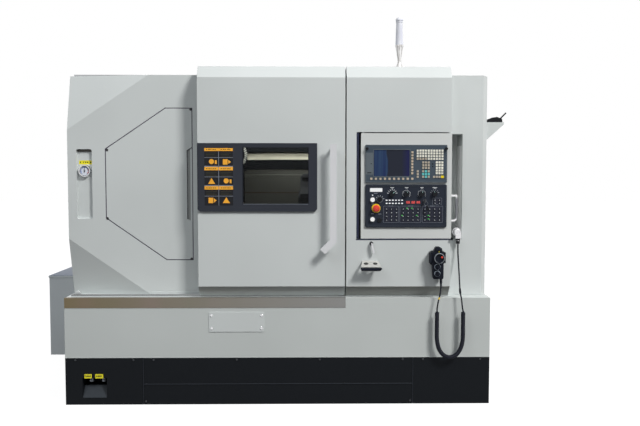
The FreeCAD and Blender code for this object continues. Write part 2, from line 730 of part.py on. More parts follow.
UNIT_KEYS = [
    # left, low, columns, rows, gap across, gap up, key size
    (823, 1470.5, 10, 4, 16.3, 16.1, 11),
    (937, 1385.5, 3, 5, 16.3, 16.1, 11),
    (856, 1416.5, 3, 3, 16.6, 16.3, 11),
    (856, 1364.5, 3, 3, 16.6, 16.3, 11),
    (824.5, 1365, 1, 3, 16.3, 16.3, 10),
    (921.5, 1364.5, 4, 1, 16.5, 16.3, 10),
    (792, 1386, 1, 8, 16.3, 17.6, 10),
    (549, 1352.5, 10, 1, 27.0, 16.3, 11),
]

BOARD_KEYS = [
    (638.5, 1106.5, 3, 4, 29.5, 21.7, 15),
    (737.5, 1106.5, 4, 4, 29.3, 21.7, 15),
    (866.5, 1106.5, 4, 4, 29, 21.7, 15),
    (641.5, 1208, 6, 2, 18.4, 18.5, 9),
    (926, 1207, 2, 2, 27, 19, 14),
]


def key_field(body, left, low, columns, rows, across, up, key, proud):
    """Raise a field of square keys: one column, repeated across."""
    column = [rectangle(left, low + up * row, left + key, low + up * row + key)
              for row in range(rows)]
    feature = slabs(body, "XZ", column, f"-bezel - {proud}", proud)
    if columns > 1:
        in_a_row(body, feature, "X", columns, across)


def make_panel():
    """Swivelling box with pivot pins, the control unit, the control board and a side grip."""
    body = new_body("panel_box")
    slab(body, "XY", rectangle("panel_left", 0, "panel_right", "panel_deep"), "panel_low",
         "panel_high - panel_low")
    pin = [("pivot_x", "pivot_y", "pivot_r_pin")]
    discs(body, "XY", pin, "panel_high", "recess_high - panel_high + 10")
    discs(body, "XY", pin, "recess_low - 10", "panel_low - recess_low + 10")
    unit = new_body("cnc_unit")
    slab(unit, "XZ", rectangle("unit_left", "unit_low", "unit_right", "unit_high"), "-bezel",
         "bezel")
    round_edges(unit, lambda edge: along(edge, Vector(0, 1, 0)), 6)
    notch(unit, "XZ", rectangle(569, 1373, 782, 1530), "-bezel", 3)
    for field in UNIT_KEYS:
        key_field(unit, *field, 2.5)
    board = new_body("control_board")
    slab(board, "XZ", rectangle("unit_left", "board_low", "unit_right", "board_high"),
         "-bezel", "bezel")
    round_edges(board, lambda edge: along(edge, Vector(0, 1, 0)), 10)
    for field in BOARD_KEYS:
        key_field(board, *field, 2)
    displays = [(764, 784), (795, 815), (822, 848)]
    notches(board, "XZ", [rectangle(left, 1210, right, 1227) for left, right in displays],
            "-bezel", 2)
    discs(board, "XZ", [(583, 1183, 25)], "-bezel - 4", 4)
    discs(board, "XZ", [(605, 1115, 12)], "-bezel - 6", 6)
    holes = [(x, z, f"{radius} + running") for x, z, radius in CONTROL_STEMS]
    bores(board, "XZ", holes, "-bezel - 8", "bezel + 8")
    grip = new_body("panel_grip")
    slab(grip, "XZ", rectangle("panel_right", 1100, "panel_right + 46", 1262), 52, 14)
    notch(grip, "XZ", rectangle("panel_right", 1111, "panel_right + 38", 1251), 52, 14)
    for inner, low, radius in ((False, True, 24), (True, True, 17), (False, False, 7),
                               (True, False, 3)):
        round_edges(grip, lambda edge: along(edge, Vector(0, 1, 0))
                    and edge.Vertexes[0].Point.x > size("panel_right") + 20
                    and (edge.Vertexes[0].Point.x < size("panel_right") + 42) == inner
                    and (edge.Vertexes[0].Point.z < 1180) == low, radius)


CONTROL_STEMS = [(679, 1269, 4), (764, 1269, 4), (855, 1269, 4), (931, 1269, 4), (605, 1236, 4),
                 (583, 1183, 9), (562, 1234, 11), (562, 1118, 11), (873, 1227, 6)]


def own_body(name, x, y, z):
    """Start a sub-part whose own axis lies at x, z and whose seat lies at y."""
    body = document.addObject("PartDesign::Body", name)
    body.Label = name
    return keep(body, x, y, z)


def make_knob(name, x, z, radius, tall, stem):
    """Ribbed rotary knob with a pointer rib, on a stem in the board."""
    body = own_body(name, x, "-bezel", z)
    discs(body, "XZ", [(0, 0, radius)], -tall, "%s - 0.5" % tall)
    discs(body, "XZ", [(0, 0, stem)], -1, 6)
    flute = notch(body, "XZ", rectangle(-1.2, radius - 1.2, 1.2, radius + 2), -tall - 1,
                  tall - 3)
    round_the_axis(body, flute, "Y", 10)
    slab(body, "XZ", rectangle(-1.5, 0, 1.5, radius - 2), -tall - 2, 2.5)


def make_button(name, x, z, radius, tall, stem):
    """Round push button on a stem in the board."""
    body = own_body(name, x, "-bezel", z)
    discs(body, "XZ", [(0, 0, radius)], -tall, "%s - 5" % tall)
    discs(body, "XZ", [(0, 0, stem)], -6, 11)


def make_controls():
    """Override knobs, mode knob, emergency stop, two push buttons and the key switch."""
    for number, x in enumerate((679, 764, 855, 931), start=1):
        make_knob(f"override_knob_{number}", x, 1269, 15, 18, 4)
    make_knob("mode_knob", 605, 1236, 12, 16, 4)
    for name, z in (("start_button", 1234), ("stop_button", 1118)):
        make_button(name, 562, z, 13, 12, 11)
    stop = own_body("estop_button", 583, "-bezel", 1183)
    turned(stop, "YZ", [(-9, 0), (-9, 9), (-18, 9), (-20, 20), (-26, 21), (-31, 16), (-34, 0)],
           "H_Axis")
    discs(stop, "XZ", [(0, 0, 9)], -10, 14)
    key = own_body("key_switch", 873, "-bezel", 1227)
    discs(key, "XZ", [(0, 0, 11)], -6, 5.5)
    discs(key, "XZ", [(0, 0, 6)], -1, 6)
    slab(key, "XZ", rectangle(-1.2, -12, 1.2, 12), -30, 25)


# ---------------------------------------------------------------- things on the cabinet

def tube(points, radius):
    """Round tube through straight runs joined by tangent arcs, and its bend radii."""
    points = [Vector(*point) for point in points]
    edges = []
    radii = []
    start = points[0]
    for number in range(1, len(points) - 1):
        before = points[number - 1] - points[number]
        after = points[number + 1] - points[number]
        turn = math.pi - before.getAngle(after)
        cut = 0.45 * min(before.Length, after.Length)
        radii.append(cut / math.tan(turn / 2))
        enter = points[number] + before.normalize() * cut
        leave = points[number] + after.normalize() * cut
        out = (points[number] * -1 + (enter + leave) * 0.5).normalize()
        depth = radii[-1] / math.cos(turn / 2) - radii[-1]
        edges.append(Part.LineSegment(start, enter).toShape())
        edges.append(Part.Arc(enter, points[number] + out * depth, leave).toShape())
        start = leave
    edges.append(Part.LineSegment(start, points[-1]).toShape())
    path = Part.Wire(edges)
    first = points[1] - points[0]
    profile = Part.Wire([Part.Circle(points[0], first, radius).toShape()])
    solid = path.makePipeShell([profile], True, False)
    want = math.pi * radius ** 2 * path.Length
    print("tube length", round(path.Length, 1), "volume ratio", round(solid.Volume / want, 4),
          "radii", [round(value, 1) for value in radii])
    return solid


def shaped(name, shape):
    """Keep a shape made in code as a sub-part."""
    feature = document.addObject("Part::Feature", name)
    feature.Label = name
    feature.Shape = shape
    feature.Placement = FreeCAD.Placement(Vector(0, size("front_y"), 0), FreeCAD.Rotation())
    parts.append(feature)
    return feature


def make_small_things():
    """Hook, tool rack, signal tower and tray with its wash gun."""
    hook = new_body("hook")
    discs(hook, "XZ", [(557, 974, 9)], -14, 14)
    lever = new_sketch(hook, "XZ", -20)
    outline(lever, [(553, 978), (561, 978), (575, 918), (567, 916)])
    extrude(hook, lever, "XZ", 7)
    rack = new_body("tool_rack")
    left, right = 493, 609
    slab(rack, "YZ", [(-65, 838), (-50, 812), (-47, 813.7), (-61.3, 838.6), (-3, 865.6),
                      (-3, 838), (0, 838), (0, 870), (-65, 841)], left, right - left)
    notches(rack, "XY", [[(left - 1, -60), (left + 11, 1), (left - 1, 1)],
                         [(right + 1, 1), (right - 11, 1), (right + 1, -60)]], 800, 80)
    bores(rack, "XY", [(left + 31, -30, 13), (right - 31, -30, 13)], 820, 70)
    tower = own_body("tower_base", "tower_x", "tower_y", "head_high")
    turned(tower, "XZ", [(0, 0), (26, 0), (20, 12), (12, 30), (10.5, 44), (12.5, 66), (18, 104),
                         (23, 129), (25, 133), (25, 141), (0, 141)], "V_Axis")
    lens = own_body("tower_lens", "tower_x", "tower_y", "head_high")
    turned(lens, "XZ", [(0, 141), (24.5, 141), (20.5, 273), (22, 274), (22, 285), (24, 286),
                        (23, 296), (17, 304), (8, 307), (0, 307)], "V_Axis")


def make_tray():
    """Folded tray on the right wall and the wash gun that lies in it."""
    body = new_body("tool_tray")
    slab(body, "XZ", [("base_half", "tray_high - tray_reach"), ("base_half", "tray_high"),
                      ("base_half + tray_reach", "tray_high"),
                      ("base_half + tray_reach", "tray_high - 14")],
         "tray_front", "tray_back - tray_front")
    notch(body, "XZ", [("base_half + 3", "tray_high - tray_reach + 8"),
                       ("base_half + 3", "tray_high + 1"),
                       ("base_half + tray_reach - 3", "tray_high + 1"),
                       ("base_half + tray_reach - 3", "tray_high - 12")],
          "tray_front + 3", "tray_back - tray_front - 6")
    gun = new_body("wash_gun")
    seat = "tray_high - tray_reach + 8 + 38 * (tray_reach - 20) / (tray_reach - 6)"
    slab(gun, "XZ", [(1292, 1610), ("base_half + 41", seat), (1344, 1694), (1411, 1715),
                     (1407, 1737), (1392, 1742), (1375, 1748), (1344, 1743), (1335, 1739),
                     (1320, 1734), (1302, 1714)], "gun_middle - 13", 26)
    slab(gun, "XZ", [(1390, 1735), (1396, 1729), (1438, 1771), (1432, 1777)],
         "gun_middle - 4.5", 9)
    round_edges(gun, lambda edge: along(edge, Vector(1, 0, 1).normalize()), 3)
    notch(gun, "XZ", rectangle("trigger_x - 12", 1680, "trigger_x + 9", "trigger_z + 9"),
          "gun_middle - 5", 10)
    discs(gun, "XZ", [("trigger_x", "trigger_z", "trigger_pin")], "gun_middle - 6", 12)
    trigger = own_body("gun_trigger", "trigger_x", "gun_middle", "trigger_z")
    slab(trigger, "XZ", [(-4.5, 3), (4.5, 3), (4.5, -8), (-8, -36), (-15, -34)], -4, 8)
    bores(trigger, "XZ", [(0, 0, "trigger_pin + 0.05")], -5, 10)


def make_connector():
    """Round plug and socket in the recess, with the gland that the cord leaves from."""
    body = new_body("connector")
    discs(body, "XZ", [(1086, 1034, 22)], 84, 174)
    slab(body, "XZ", rectangle(1074, 996, 1108, 1034), 62, 44)
    discs(body, "XZ", [(1086, 1034, 18)], 62, 30)
    discs(body, "XY", [(1091, 74, 12)], 982, 16)
    discs(body, "XY", [(1091, 74, 9)], 962, 20)


# ---------------------------------------------------------------- pendant and its curly cord

def make_pendant():
    """Hand-held pendant in its holder, with the handwheel and two selector knobs."""
    holder = new_body("pendant_holder")
    slab(holder, "XZ", [(902, 858), (914, 846), (980, 846), (992, 858), (992, 922), (982, 930),
                        (918, 930), (902, 922)], -22, 22)
    slab(holder, "XZ", rectangle(902, 862, 913, 924), -58, 37)
    slab(holder, "XZ", rectangle(982, 862, 992, 924), -58, 37)
    body = new_body("pendant_body")
    slab(body, "XZ", [(914, 860), (919, 772), (924, 766), (976, 766), (981, 772), (981, 922),
                      (972, 936), (968, 950), (956, 958), (938, 958), (930, 950), (924, 936),
                      (914, 922)], -60, 38)
    round_edges(body, lambda edge: abs(edge.BoundBox.YMin + 60) < 0.01
                and abs(edge.BoundBox.YMax + 60) < 0.01, 5)
    discs(body, "XY", [("pendant_x + 18", -42, 8)], 742, 24)
    stem = 4
    seats = [(x, z, f"{stem} + running") for name, x, z, radius, tall in PENDANT_KNOBS]
    bores(body, "XZ", seats, -61, 10)
    for name, x, z, radius, tall in PENDANT_KNOBS:
        knob = own_body(name, x, -60, z)
        discs(knob, "XZ", [(0, 0, radius)], -tall, f"{tall} - 0.5")
        discs(knob, "XZ", [(0, 0, stem)], -1, 9)
        if name == "handwheel":
            discs(knob, "XZ", [(19, 8, 5)], -tall - 8, 8)
            dish = bores(knob, "XZ", [(0, 0, 22)], -tall - 1, 4)
            knob.Tip = dish
        else:
            slab(knob, "XZ", rectangle(-2.5, -12, 2.5, 12), -tall - 6, 6)


PENDANT_KNOBS = [
    # name, x, z, radius, height
    ("handwheel", 952, "wheel_height", 30, 14),
    ("axis_knob", 943, 840, 15, 12),
    ("rate_knob", 943, 799, 15, 12),
]

UPPER_ROUTE = [
    # from the connector's gland down to the right-hand end of the curls
    (1091, 74, 962), (1091, 74, 922), (1092, 64, 872), (1091, 40, 820), (1088, 10, 775),
    (1085, -16, 728), (1085, -33, 682), (1094, -39, 640), (1111, -40, 604), (1111, -40, 573),
]

LOWER_ROUTE = [
    # from the pendant's gland down to the left-hand end of the curls
    (968, -42, 742), (968, -42, 714), (965, -42, 674), (955, -41, 637), (939, -40, 604),
    (939, -40, 573),
]


def curl_point(share, curls, radius):
    """Point of the curls on a hanging bow: two legs joined by half an ellipse."""
    spread = size("curl_spread")
    leg = size("curl_leg")
    depth = size("curl_depth")
    half = bow_length(math.pi, spread, depth)
    total = 2 * leg + half
    run = share * total
    if run < leg:
        place = Vector(-spread, 0, -run)
        ahead = Vector(0, 0, -1)
    elif run > leg + half:
        place = Vector(spread, 0, run - total)
        ahead = Vector(0, 0, 1)
    else:
        angle = bow_angle(run - leg, spread, depth)
        place = Vector(-spread * math.cos(angle), 0, -leg - depth * math.sin(angle))
        ahead = Vector(spread * math.sin(angle), 0, -depth * math.cos(angle)).normalize()
    side = Vector(0, 1, 0)
    out = side.cross(ahead)
    phase = 2 * math.pi * curls * share
    around = out * math.cos(phase) + side * math.sin(phase)
    top = Vector(size("curl_middle"), size("cord_front"), size("curl_high"))
    return top + place + around * radius


def bow_length(angle, spread, depth):
    """Length of the half ellipse up to an angle, by the middle of small steps."""
    steps = 400
    step = angle / steps
    return sum(math.hypot(spread * math.sin(step * (n + 0.5)), depth * math.cos(step * (n + 0.5)))
               for n in range(steps)) * step


def bow_angle(run, spread, depth):
    """Angle at which the half ellipse has covered a given run."""
    low = 0
    high = math.pi
    for halving in range(24):
        middle = (low + high) / 2
        if bow_length(middle, spread, depth) < run:
            low = middle
        else:
            high = middle
    return low


def biarc(start, start_way, end, end_way):
    """Two tangent arcs from one point and direction to another."""
    span = end - start
    both = start_way + end_way
    square = 2 * (1 - start_way.dot(end_way))
    along_both = span.dot(both)
    reach = (-along_both + math.sqrt(along_both ** 2 + square * span.dot(span))) / square
    joint = (start + start_way * reach + end - end_way * reach) * 0.5
    joint_way = ((end - end_way * reach) - (start + start_way * reach)).normalize()
    return [arc_from(start, start_way, joint), arc_from(joint, joint_way, end)]


def arc_from(start, way, end):
    """Arc that leaves start along way and ends at end."""
    chord = end - start
    half = way.getAngle(chord)
    inward = (chord - way * way.dot(chord)).normalize()
    radius = chord.Length / (2 * math.sin(half))
    middle = start + way * (radius * math.sin(half)) + inward * (radius * (1 - math.cos(half)))
    return Part.Arc(start, middle, end).toShape()


def make_curls():
    """One unbroken tube of curls on the hanging bow, with a square section."""
    curls = int(size("curl_count"))
    radius = size("curl_radius")
    half_turns = 2 * curls
    shares = [(number + 0.25) / half_turns for number in range(half_turns)]
    points = [curl_point(share, curls, radius) for share in shares]
    tiny = 1e-5
    ways = []
    for share in shares:
        ahead = curl_point(share + tiny, curls, radius)
        behind = curl_point(share - tiny, curls, radius)
        ways.append((ahead - behind).normalize())
    corner = 1.2 * size("cord_radius")
    reach = size("curl_spread") + radius
    start = Vector(size("curl_middle") - reach, size("cord_front"), size("curl_start"))
    end = start + Vector(2 * reach, 0, 0)
    down = Vector(0, 0, -1)
    straight = down * (2 * size("cord_radius"))
    edges = [Part.LineSegment(start, start + straight).toShape()]
    edges += biarc(start + straight, down, points[0], ways[0])
    for number in range(half_turns - 1):
        edges += biarc(points[number], ways[number], points[number + 1], ways[number + 1])
    edges += biarc(points[-1], ways[-1], end + straight, down * -1)
    edges.append(Part.LineSegment(end + straight, end).toShape())
    path = Part.Wire(edges)
    corners = [start + Vector(math.cos(turn), math.sin(turn), 0) * corner
               for turn in (math.pi / 4 + math.pi / 2 * n for n in range(4))]
    profile = Part.makePolygon(corners + [corners[0]])
    solid = path.makePipeShell([profile], True, False)
    gaps = [(a - b).Length for number, a in enumerate(points) for b in points[number + 2:]]
    print("curls", curls, "path", round(path.Length, 1), "least gap to itself",
          round(min(gaps) - 2 * corner, 2))
    return solid


# ---------------------------------------------------------------- build, check and write

def build_all():
    """Make every sub-part."""
    make_plinth()
    make_drain_plugs()
    make_base()
    make_bed()
    make_headstock()
    make_chuck()
    make_jaws()
    make_saddle()
    make_turret()
    make_tailstock()
    make_liner()
    make_left_cover()
    make_hatch()
    make_gauge()
    make_right_cover()
    make_roof()
    make_cabinet()
    make_track()
    make_tank()
    make_door()
    make_handle()
    make_panel()
    make_controls()
    make_small_things()
    make_tray()
    make_connector()
    make_pendant()
    shaped("cord_upper", tube(UPPER_ROUTE, size("cord_radius")))
    shaped("cord_lower", tube(LOWER_ROUTE, size("cord_radius")))
    shaped("cord_curl", make_curls())


def check_all():
    """Stop if anything failed, if a cut took nothing away or if a shape isn't sound."""
    document.recompute()
    faults = []
    for thing in document.Objects:
        if "Invalid" in thing.State or "Error" in thing.State:
            faults.append(f"{thing.Name}: {thing.State}")
        if thing.TypeId == "PartDesign::Pocket" and thing.BaseFeature is not None:
            if thing.Shape.Volume > thing.BaseFeature.Shape.Volume - 0.5:
                faults.append(f"{thing.Name} takes nothing away")
    for part in parts:
        if part.Shape.isNull() or not part.Shape.isValid() or part.Shape.Volume < 1:
            faults.append(f"{part.Label} has no sound shape")
    if faults:
        raise RuntimeError("; ".join(faults))


def write_all():
    """Write each sub-part to a file of its own."""
    os.makedirs("parts", exist_ok=True)
    for part in parts:
        part.Shape.exportStep(f"parts/{part.Label}.step")
    print(len(parts), "sub-parts written")


build_all()
check_all()
write_all()
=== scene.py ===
# %% [markdown]
# # Dressing an enclosed turning centre
# The machine comes in as a fixed frame of measured sheet metal, castings and plastic. Nothing in
# it is moved here. Each cell adds one finish or one kind of small piece, and says what that is on
# the real machine and why it is made this way.

# %% Load the frame
import bpy
import bmesh
import math
from mathutils import Matrix, Vector


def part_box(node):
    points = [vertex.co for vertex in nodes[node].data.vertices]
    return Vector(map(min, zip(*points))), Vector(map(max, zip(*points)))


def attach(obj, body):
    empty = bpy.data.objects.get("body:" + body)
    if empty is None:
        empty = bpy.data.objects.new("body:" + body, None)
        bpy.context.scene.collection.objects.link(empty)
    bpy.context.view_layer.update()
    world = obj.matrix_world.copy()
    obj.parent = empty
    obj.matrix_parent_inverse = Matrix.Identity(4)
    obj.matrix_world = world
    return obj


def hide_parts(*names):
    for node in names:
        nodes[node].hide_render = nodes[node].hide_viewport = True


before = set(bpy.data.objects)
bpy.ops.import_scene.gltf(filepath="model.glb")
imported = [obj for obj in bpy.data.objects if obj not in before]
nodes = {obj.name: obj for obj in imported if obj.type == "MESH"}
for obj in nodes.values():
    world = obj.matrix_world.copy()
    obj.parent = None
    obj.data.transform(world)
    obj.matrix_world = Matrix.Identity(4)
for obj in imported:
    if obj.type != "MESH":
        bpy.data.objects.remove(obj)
scene = bpy.context.scene
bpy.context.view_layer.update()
print("pieces in the frame:", len(nodes))

# %% [markdown]
# ## Where things are
# A fitter measures this machine in millimetres from the front of its base. Blender counts in
# metres from the middle of the footprint, so one small function turns the fitter's three numbers
# into a point, and every later cell is written in shop sizes. A second one reads how far back the
# face of a measured piece lies, which is where a small piece on it has to sit.

# %% Shop sizes to scene points
MM = 0.001
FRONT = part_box("base_casing")[0].y


def at(across, back, up):
    """A point given in millimetres from the middle, the front plane and the floor."""
    return Vector((across * MM, FRONT + back * MM, up * MM))


def face_of(name):
    """Where a node's foremost point lies, in millimetres behind the front plane."""
    return (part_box(name)[0].y - FRONT) / MM


print("front plane at", round(FRONT, 4), "and the plinth's face at", round(face_of("plinth_skirt")))

# %% [markdown]
# ## Camera
# The photograph was taken a little right of the door's middle, at chest height and tipped down by
# about three degrees. A camera could be turned with three angles, but their order is easy to get
# wrong. So its three axes are worked out from the angles here and written straight into its
# matrix.

# %% Camera
FOCAL_PX = 700.2
IMAGE_WIDE_PX = 640
SENSOR_MM = 36
YAW = math.radians(0.8235)
PITCH = math.radians(3.2302)
ROLL = math.radians(0.0412)
CAMERA_PLACE = at(191.1, -4155.9, 1389.3)

camera_data = bpy.data.cameras.new("camera")
camera_data.sensor_width = SENSOR_MM
camera_data.lens = SENSOR_MM * FOCAL_PX / IMAGE_WIDE_PX
camera = bpy.data.objects.new("camera", camera_data)
scene.collection.objects.link(camera)
forward = Vector((math.sin(YAW) * math.cos(PITCH), math.cos(YAW) * math.cos(PITCH),
                  -math.sin(PITCH)))
level = Vector((math.cos(YAW), -math.sin(YAW), 0))
lift = level.cross(forward)
right = level * math.cos(ROLL) + lift * math.sin(ROLL)
top = lift * math.cos(ROLL) - level * math.sin(ROLL)
turn = Matrix((right, top, -forward)).transposed().to_4x4()
camera.matrix_world = Matrix.Translation(CAMERA_PLACE) @ turn
scene.camera = camera
scene.view_settings.view_transform = "Standard"
print("lens", round(camera_data.lens, 2), "mm")

# %% [markdown]
# ## Colours
# Paint colours are quoted as they look on a screen, from 0 to 255. A shader wants linear light, so
# a helper undoes the screen's curve once, and each finish can name the colour a painter would see.

# %% Colour helpers
LEVELS = 255


def shade(red, green, blue):
    """Linear colour of a screen colour."""
    linear = []
    for part in (red, green, blue):
        part = part / LEVELS
        linear.append(part / 12.92 if part <= 0.04045 else ((part + 0.055) / 1.055) ** 2.4)
    return (*linear, 1.0)


def scaled(colour, factor):
    """A colour made lighter or darker."""
    return (*(part * factor for part in colour[:3]), 1.0)


print("cover paint in linear light", [round(value, 3) for value in shade(205, 210, 210)])

# %% [markdown]
# ## Shader graphs
# A finish is a small graph: textures drive colours and roughness, and those drive a shader.
# Blender builds it one node and one link at a time, which hides what the graph does behind a page
# of calls. These helpers add a node with its settings and inputs in one line, and an input may be
# a number, a colour or the output of another node.


# %% Graph helpers
def fill(tree, made, inputs):
    """Give a node's inputs their values or their links."""
    for socket, value in inputs.items():
        if isinstance(value, bpy.types.NodeSocket):
            tree.links.new(value, made.inputs[socket])
        else:
            made.inputs[socket].default_value = value


def node(tree, kind, inputs=None, **settings):
    """Add one shader node and set it up."""
    made = tree.nodes.new("ShaderNode" + kind)
    for name, value in settings.items():
        setattr(made, name, value)
    fill(tree, made, inputs or {})
    return made


def span(tree, value, start, end, low=0.0, high=1.0):
    """Stretch a value that runs from start to end so that it runs from low to high."""
    return node(tree, "MapRange", {"Value": value, "From Min": start, "From Max": end,
                                   "To Min": low, "To Max": high}).outputs[0]


def sums(tree, operation, first, second):
    """One step of arithmetic on two values."""
    return node(tree, "Math", {0: first, 1: second}, operation=operation).outputs[0]


def axes_of(tree, place):
    """The three parts of a place, to be named X, Y and Z."""
    return node(tree, "SeparateXYZ", {0: place}).outputs


def empty_material(name):
    """A material whose graph has nothing in it yet."""
    material = bpy.data.materials.new(name)
    material.use_nodes = True
    material.node_tree.nodes.clear()
    return material, material.node_tree


print("graph helpers: fill, node, span, sums, axes_of, empty_material")

# %% [markdown]
# ## Studio sky
# The machine stands in a hall with no walls. The sky that lights it is dim near the floor and
# bright overhead, so that faces which lean back come out lighter, as they do under the lamps of a
# hall. The camera, mirrors and glass see plain white instead, which a mix by the kind of ray does
# without adding any light.


# %% Sky
def seen_directly(tree):
    """A 0 or 1 that is 1 for camera, mirror and glass rays."""
    path = node(tree, "LightPath").outputs
    straight = sums(tree, "MAXIMUM", path["Is Camera Ray"], path["Is Glossy Ray"])
    return sums(tree, "MAXIMUM", straight, path["Is Transmission Ray"])


SKY_AT_FLOOR = 0.12
SKY_OVERHEAD = 0.80
world = bpy.data.worlds.new("studio")
world.use_nodes = True
scene.world = world
sky = world.node_tree
sky.nodes.clear()
height = axes_of(sky, node(sky, "TexCoord").outputs["Generated"])["Z"]
lighting = node(sky, "Background", {"Color": (0.95, 0.98, 1.0, 1),
                                    "Strength": span(sky, height, 0, 1, SKY_AT_FLOOR,
                                                     SKY_OVERHEAD)})
backdrop = node(sky, "Background", {"Color": (1, 1, 1, 1)})
either = node(sky, "MixShader", {0: seen_directly(sky), 1: lighting.outputs[0],
                                 2: backdrop.outputs[0]})
node(sky, "OutputWorld", {"Surface": either.outputs[0]})
print("sky strength from", SKY_AT_FLOOR, "to", SKY_OVERHEAD)

# %% [markdown]
# ## Studio floor
# The floor is matt and dark for light that bounces, so that the undersides of the covers stay dark
# as in the photograph. The camera, mirrors and glass see it nearly white: part of that is a glow,
# which hides the horizon, and part is a diffuse grey, which still takes the machine's shadow.

# %% Floor
FLOOR_HALF = 30
FLOOR_GLOW = 0.91
floor_mesh = bpy.data.meshes.new("floor")
floor_mesh.from_pydata([(-FLOOR_HALF, -FLOOR_HALF, 0), (FLOOR_HALF, -FLOOR_HALF, 0),
                        (FLOOR_HALF, FLOOR_HALF, 0), (-FLOOR_HALF, FLOOR_HALF, 0)],
                       [], [(0, 1, 2, 3)])
floor = bpy.data.objects.new("floor", floor_mesh)
scene.collection.objects.link(floor)
pale, tree = empty_material("pale_floor")
bounce = node(tree, "BsdfDiffuse", {"Color": shade(58, 58, 58)})
shown = node(tree, "BsdfDiffuse", {"Color": shade(120, 120, 120)})
glow = node(tree, "Emission", {"Strength": FLOOR_GLOW})
both = node(tree, "AddShader", {0: shown.outputs[0], 1: glow.outputs[0]})
either = node(tree, "MixShader", {0: seen_directly(tree), 1: bounce.outputs[0],
                                  2: both.outputs[0]})
node(tree, "OutputMaterial", {"Surface": either.outputs[0]})
floor_mesh.materials.append(pale)
print("floor is", 2 * FLOOR_HALF, "m square")

# %% [markdown]
# ## Lamps
# One large soft box at the upper right throws the handle's shadow down and to the left. A weak one
# on the left lifts the side of the door, and one behind the machine lights its back for the other
# views. Inside the work space a real machine has a slim lamp of its own, which gives the pale band
# on the guard, and a second small lamp brightens the wall behind it.

# %% Lamps
# Each row: place and target in shop sizes, width and height in metres, watts, colour.
LAMPS = {
    "key_lamp": ((6030, -6080, 8820), (300, 0, 1100), 2.4, 2.4, 1150, (1, 0.985, 0.96)),
    "left_lamp": ((-4200, -4600, 6500), (-500, 0, 1100), 2.5, 2.5, 85, (0.95, 0.98, 1)),
    "rear_lamp": ((1500, 7800, 1000), (0, 1600, 1100), 2.5, 2.5, 230, (0.97, 0.98, 1)),
    "work_lamp": ((60, 420, 1606), (60, 585, 1500), 0.95, 0.05, 1.6, (1, 0.97, 0.9)),
    "chamber_lamp": ((80, 640, 1700), (-40, 1262, 1300), 0.25, 0.25, 5.0, (1, 0.97, 0.92)),
}
for name, (place, target, wide, tall, watts, colour) in LAMPS.items():
    light = bpy.data.lights.new(name, "AREA")
    light.shape = "SQUARE" if wide == tall else "RECTANGLE"
    light.size = wide
    light.size_y = tall
    light.energy = watts
    light.color = colour
    thing = bpy.data.objects.new(name, light)
    scene.collection.objects.link(thing)
    thing.location = at(*place)
    thing.rotation_mode = "QUATERNION"
    thing.rotation_quaternion = (at(*target) - at(*place)).to_track_quat("-Z", "Y")
print("lamps:", list(LAMPS))

# %% [markdown]
# ## Painted sheet
# The covers are bent steel sheet under a fine textured powder coat. Close up that coat is a skin
# of tiny rounded bumps, and across a metre it drifts a little in tone. A picture of paint would
# repeat; instead a noise with a very small scale drives the bump and a very large one the colour.
# Both read the piece's own coordinates, so the pattern moves with a door or a panel.


# %% Texture helpers
def start_material(name):
    """A material with its graph, its shader and its piece's own coordinates."""
    material = bpy.data.materials.new(name)
    material.use_nodes = True
    tree = material.node_tree
    place = node(tree, "TexCoord").outputs["Object"]
    return material, tree, tree.nodes["Principled BSDF"], place


def noise(tree, place, scale, detail=2.0, stretch=(1, 1, 1)):
    """A noise texture, stretched along the piece's axes."""
    mapping = node(tree, "Mapping", {"Vector": place, "Scale": stretch})
    return node(tree, "TexNoise", {"Vector": mapping.outputs[0], "Scale": scale,
                                   "Detail": detail}).outputs["Fac"]


def spread(tree, value, low=0.0, high=1.0):
    """Stretch the middle of a noise, where most of it lies, to a range."""
    return span(tree, value, 0.3, 0.7, low, high)


def blend(tree, value, first, second):
    """A colour between two, chosen by a value."""
    return node(tree, "Mix", {"Factor": value, "A": first, "B": second},
                data_type="RGBA").outputs["Result"]


def bump(tree, value, depth_mm, strength):
    """A surface direction that rises and falls with a value."""
    return node(tree, "Bump", {"Height": value, "Distance": depth_mm * MM,
                               "Strength": strength}).outputs[0]


print("texture helpers: start_material, noise, spread, blend, bump")


# %% Painted finishes
def paint(name, colour, rough=0.42, peel_mm=0.06, shine=0.5):
    """Powder coat: a drifting tone, a fine orange peel and an uneven gloss."""
    material, tree, surface, place = start_material(name)
    drift = spread(tree, noise(tree, place, 1.7))
    fill(tree, surface, {
        "Specular IOR Level": shine,
        "Base Color": blend(tree, drift, scaled(colour, 0.965), scaled(colour, 1.035)),
        "Roughness": spread(tree, noise(tree, place, 60), rough - 0.05, rough + 0.05),
        "Normal": bump(tree, noise(tree, place, 900, 1.0), peel_mm, 0.35)})
    return material


COVER_PAINT = paint("cover_paint", shade(205, 210, 210))
BASE_PAINT = paint("base_paint", shade(196, 201, 200))
PANEL_PAINT = paint("panel_paint", shade(208, 211, 210))
PLINTH_PAINT = paint("plinth_paint", shade(17, 20, 24), 0.55, 0.05, 0.1)
FRAME_PAINT = paint("window_frame_paint", shade(51, 54, 62), 0.45, 0.03, 0.12)
TANK_PAINT = paint("tank_paint", shade(222, 228, 231), 0.45)
NEEDLE_PAINT = paint("black_paint", shade(24, 25, 29), 0.45, 0.03, 0.15)
CASTING_PAINT = paint("casting_paint", shade(112, 118, 116), 0.55, 0.3)
# The rack carries the cabinet's paint; this darker colour is painted shade that holds its upturned
# top to the cabinet's tone.
RACK_SHADED_PAINT = paint("rack_shaded_paint", shade(180, 180, 176), 0.5, 0.05, 0.3)
print("paints ready:", len(bpy.data.materials))

# %% [markdown]
# ## Bare metal
# The ledge strip, the handle and the lining of the work space are brushed: fine lines that run one
# way and stretch the highlights across them. Noise squeezed along one axis draws the lines. It
# changes the roughness and a shallow bump, because on real sheet the colour hardly varies. The
# plugs and screws are plated, which leaves a smooth face with a few polishing marks.


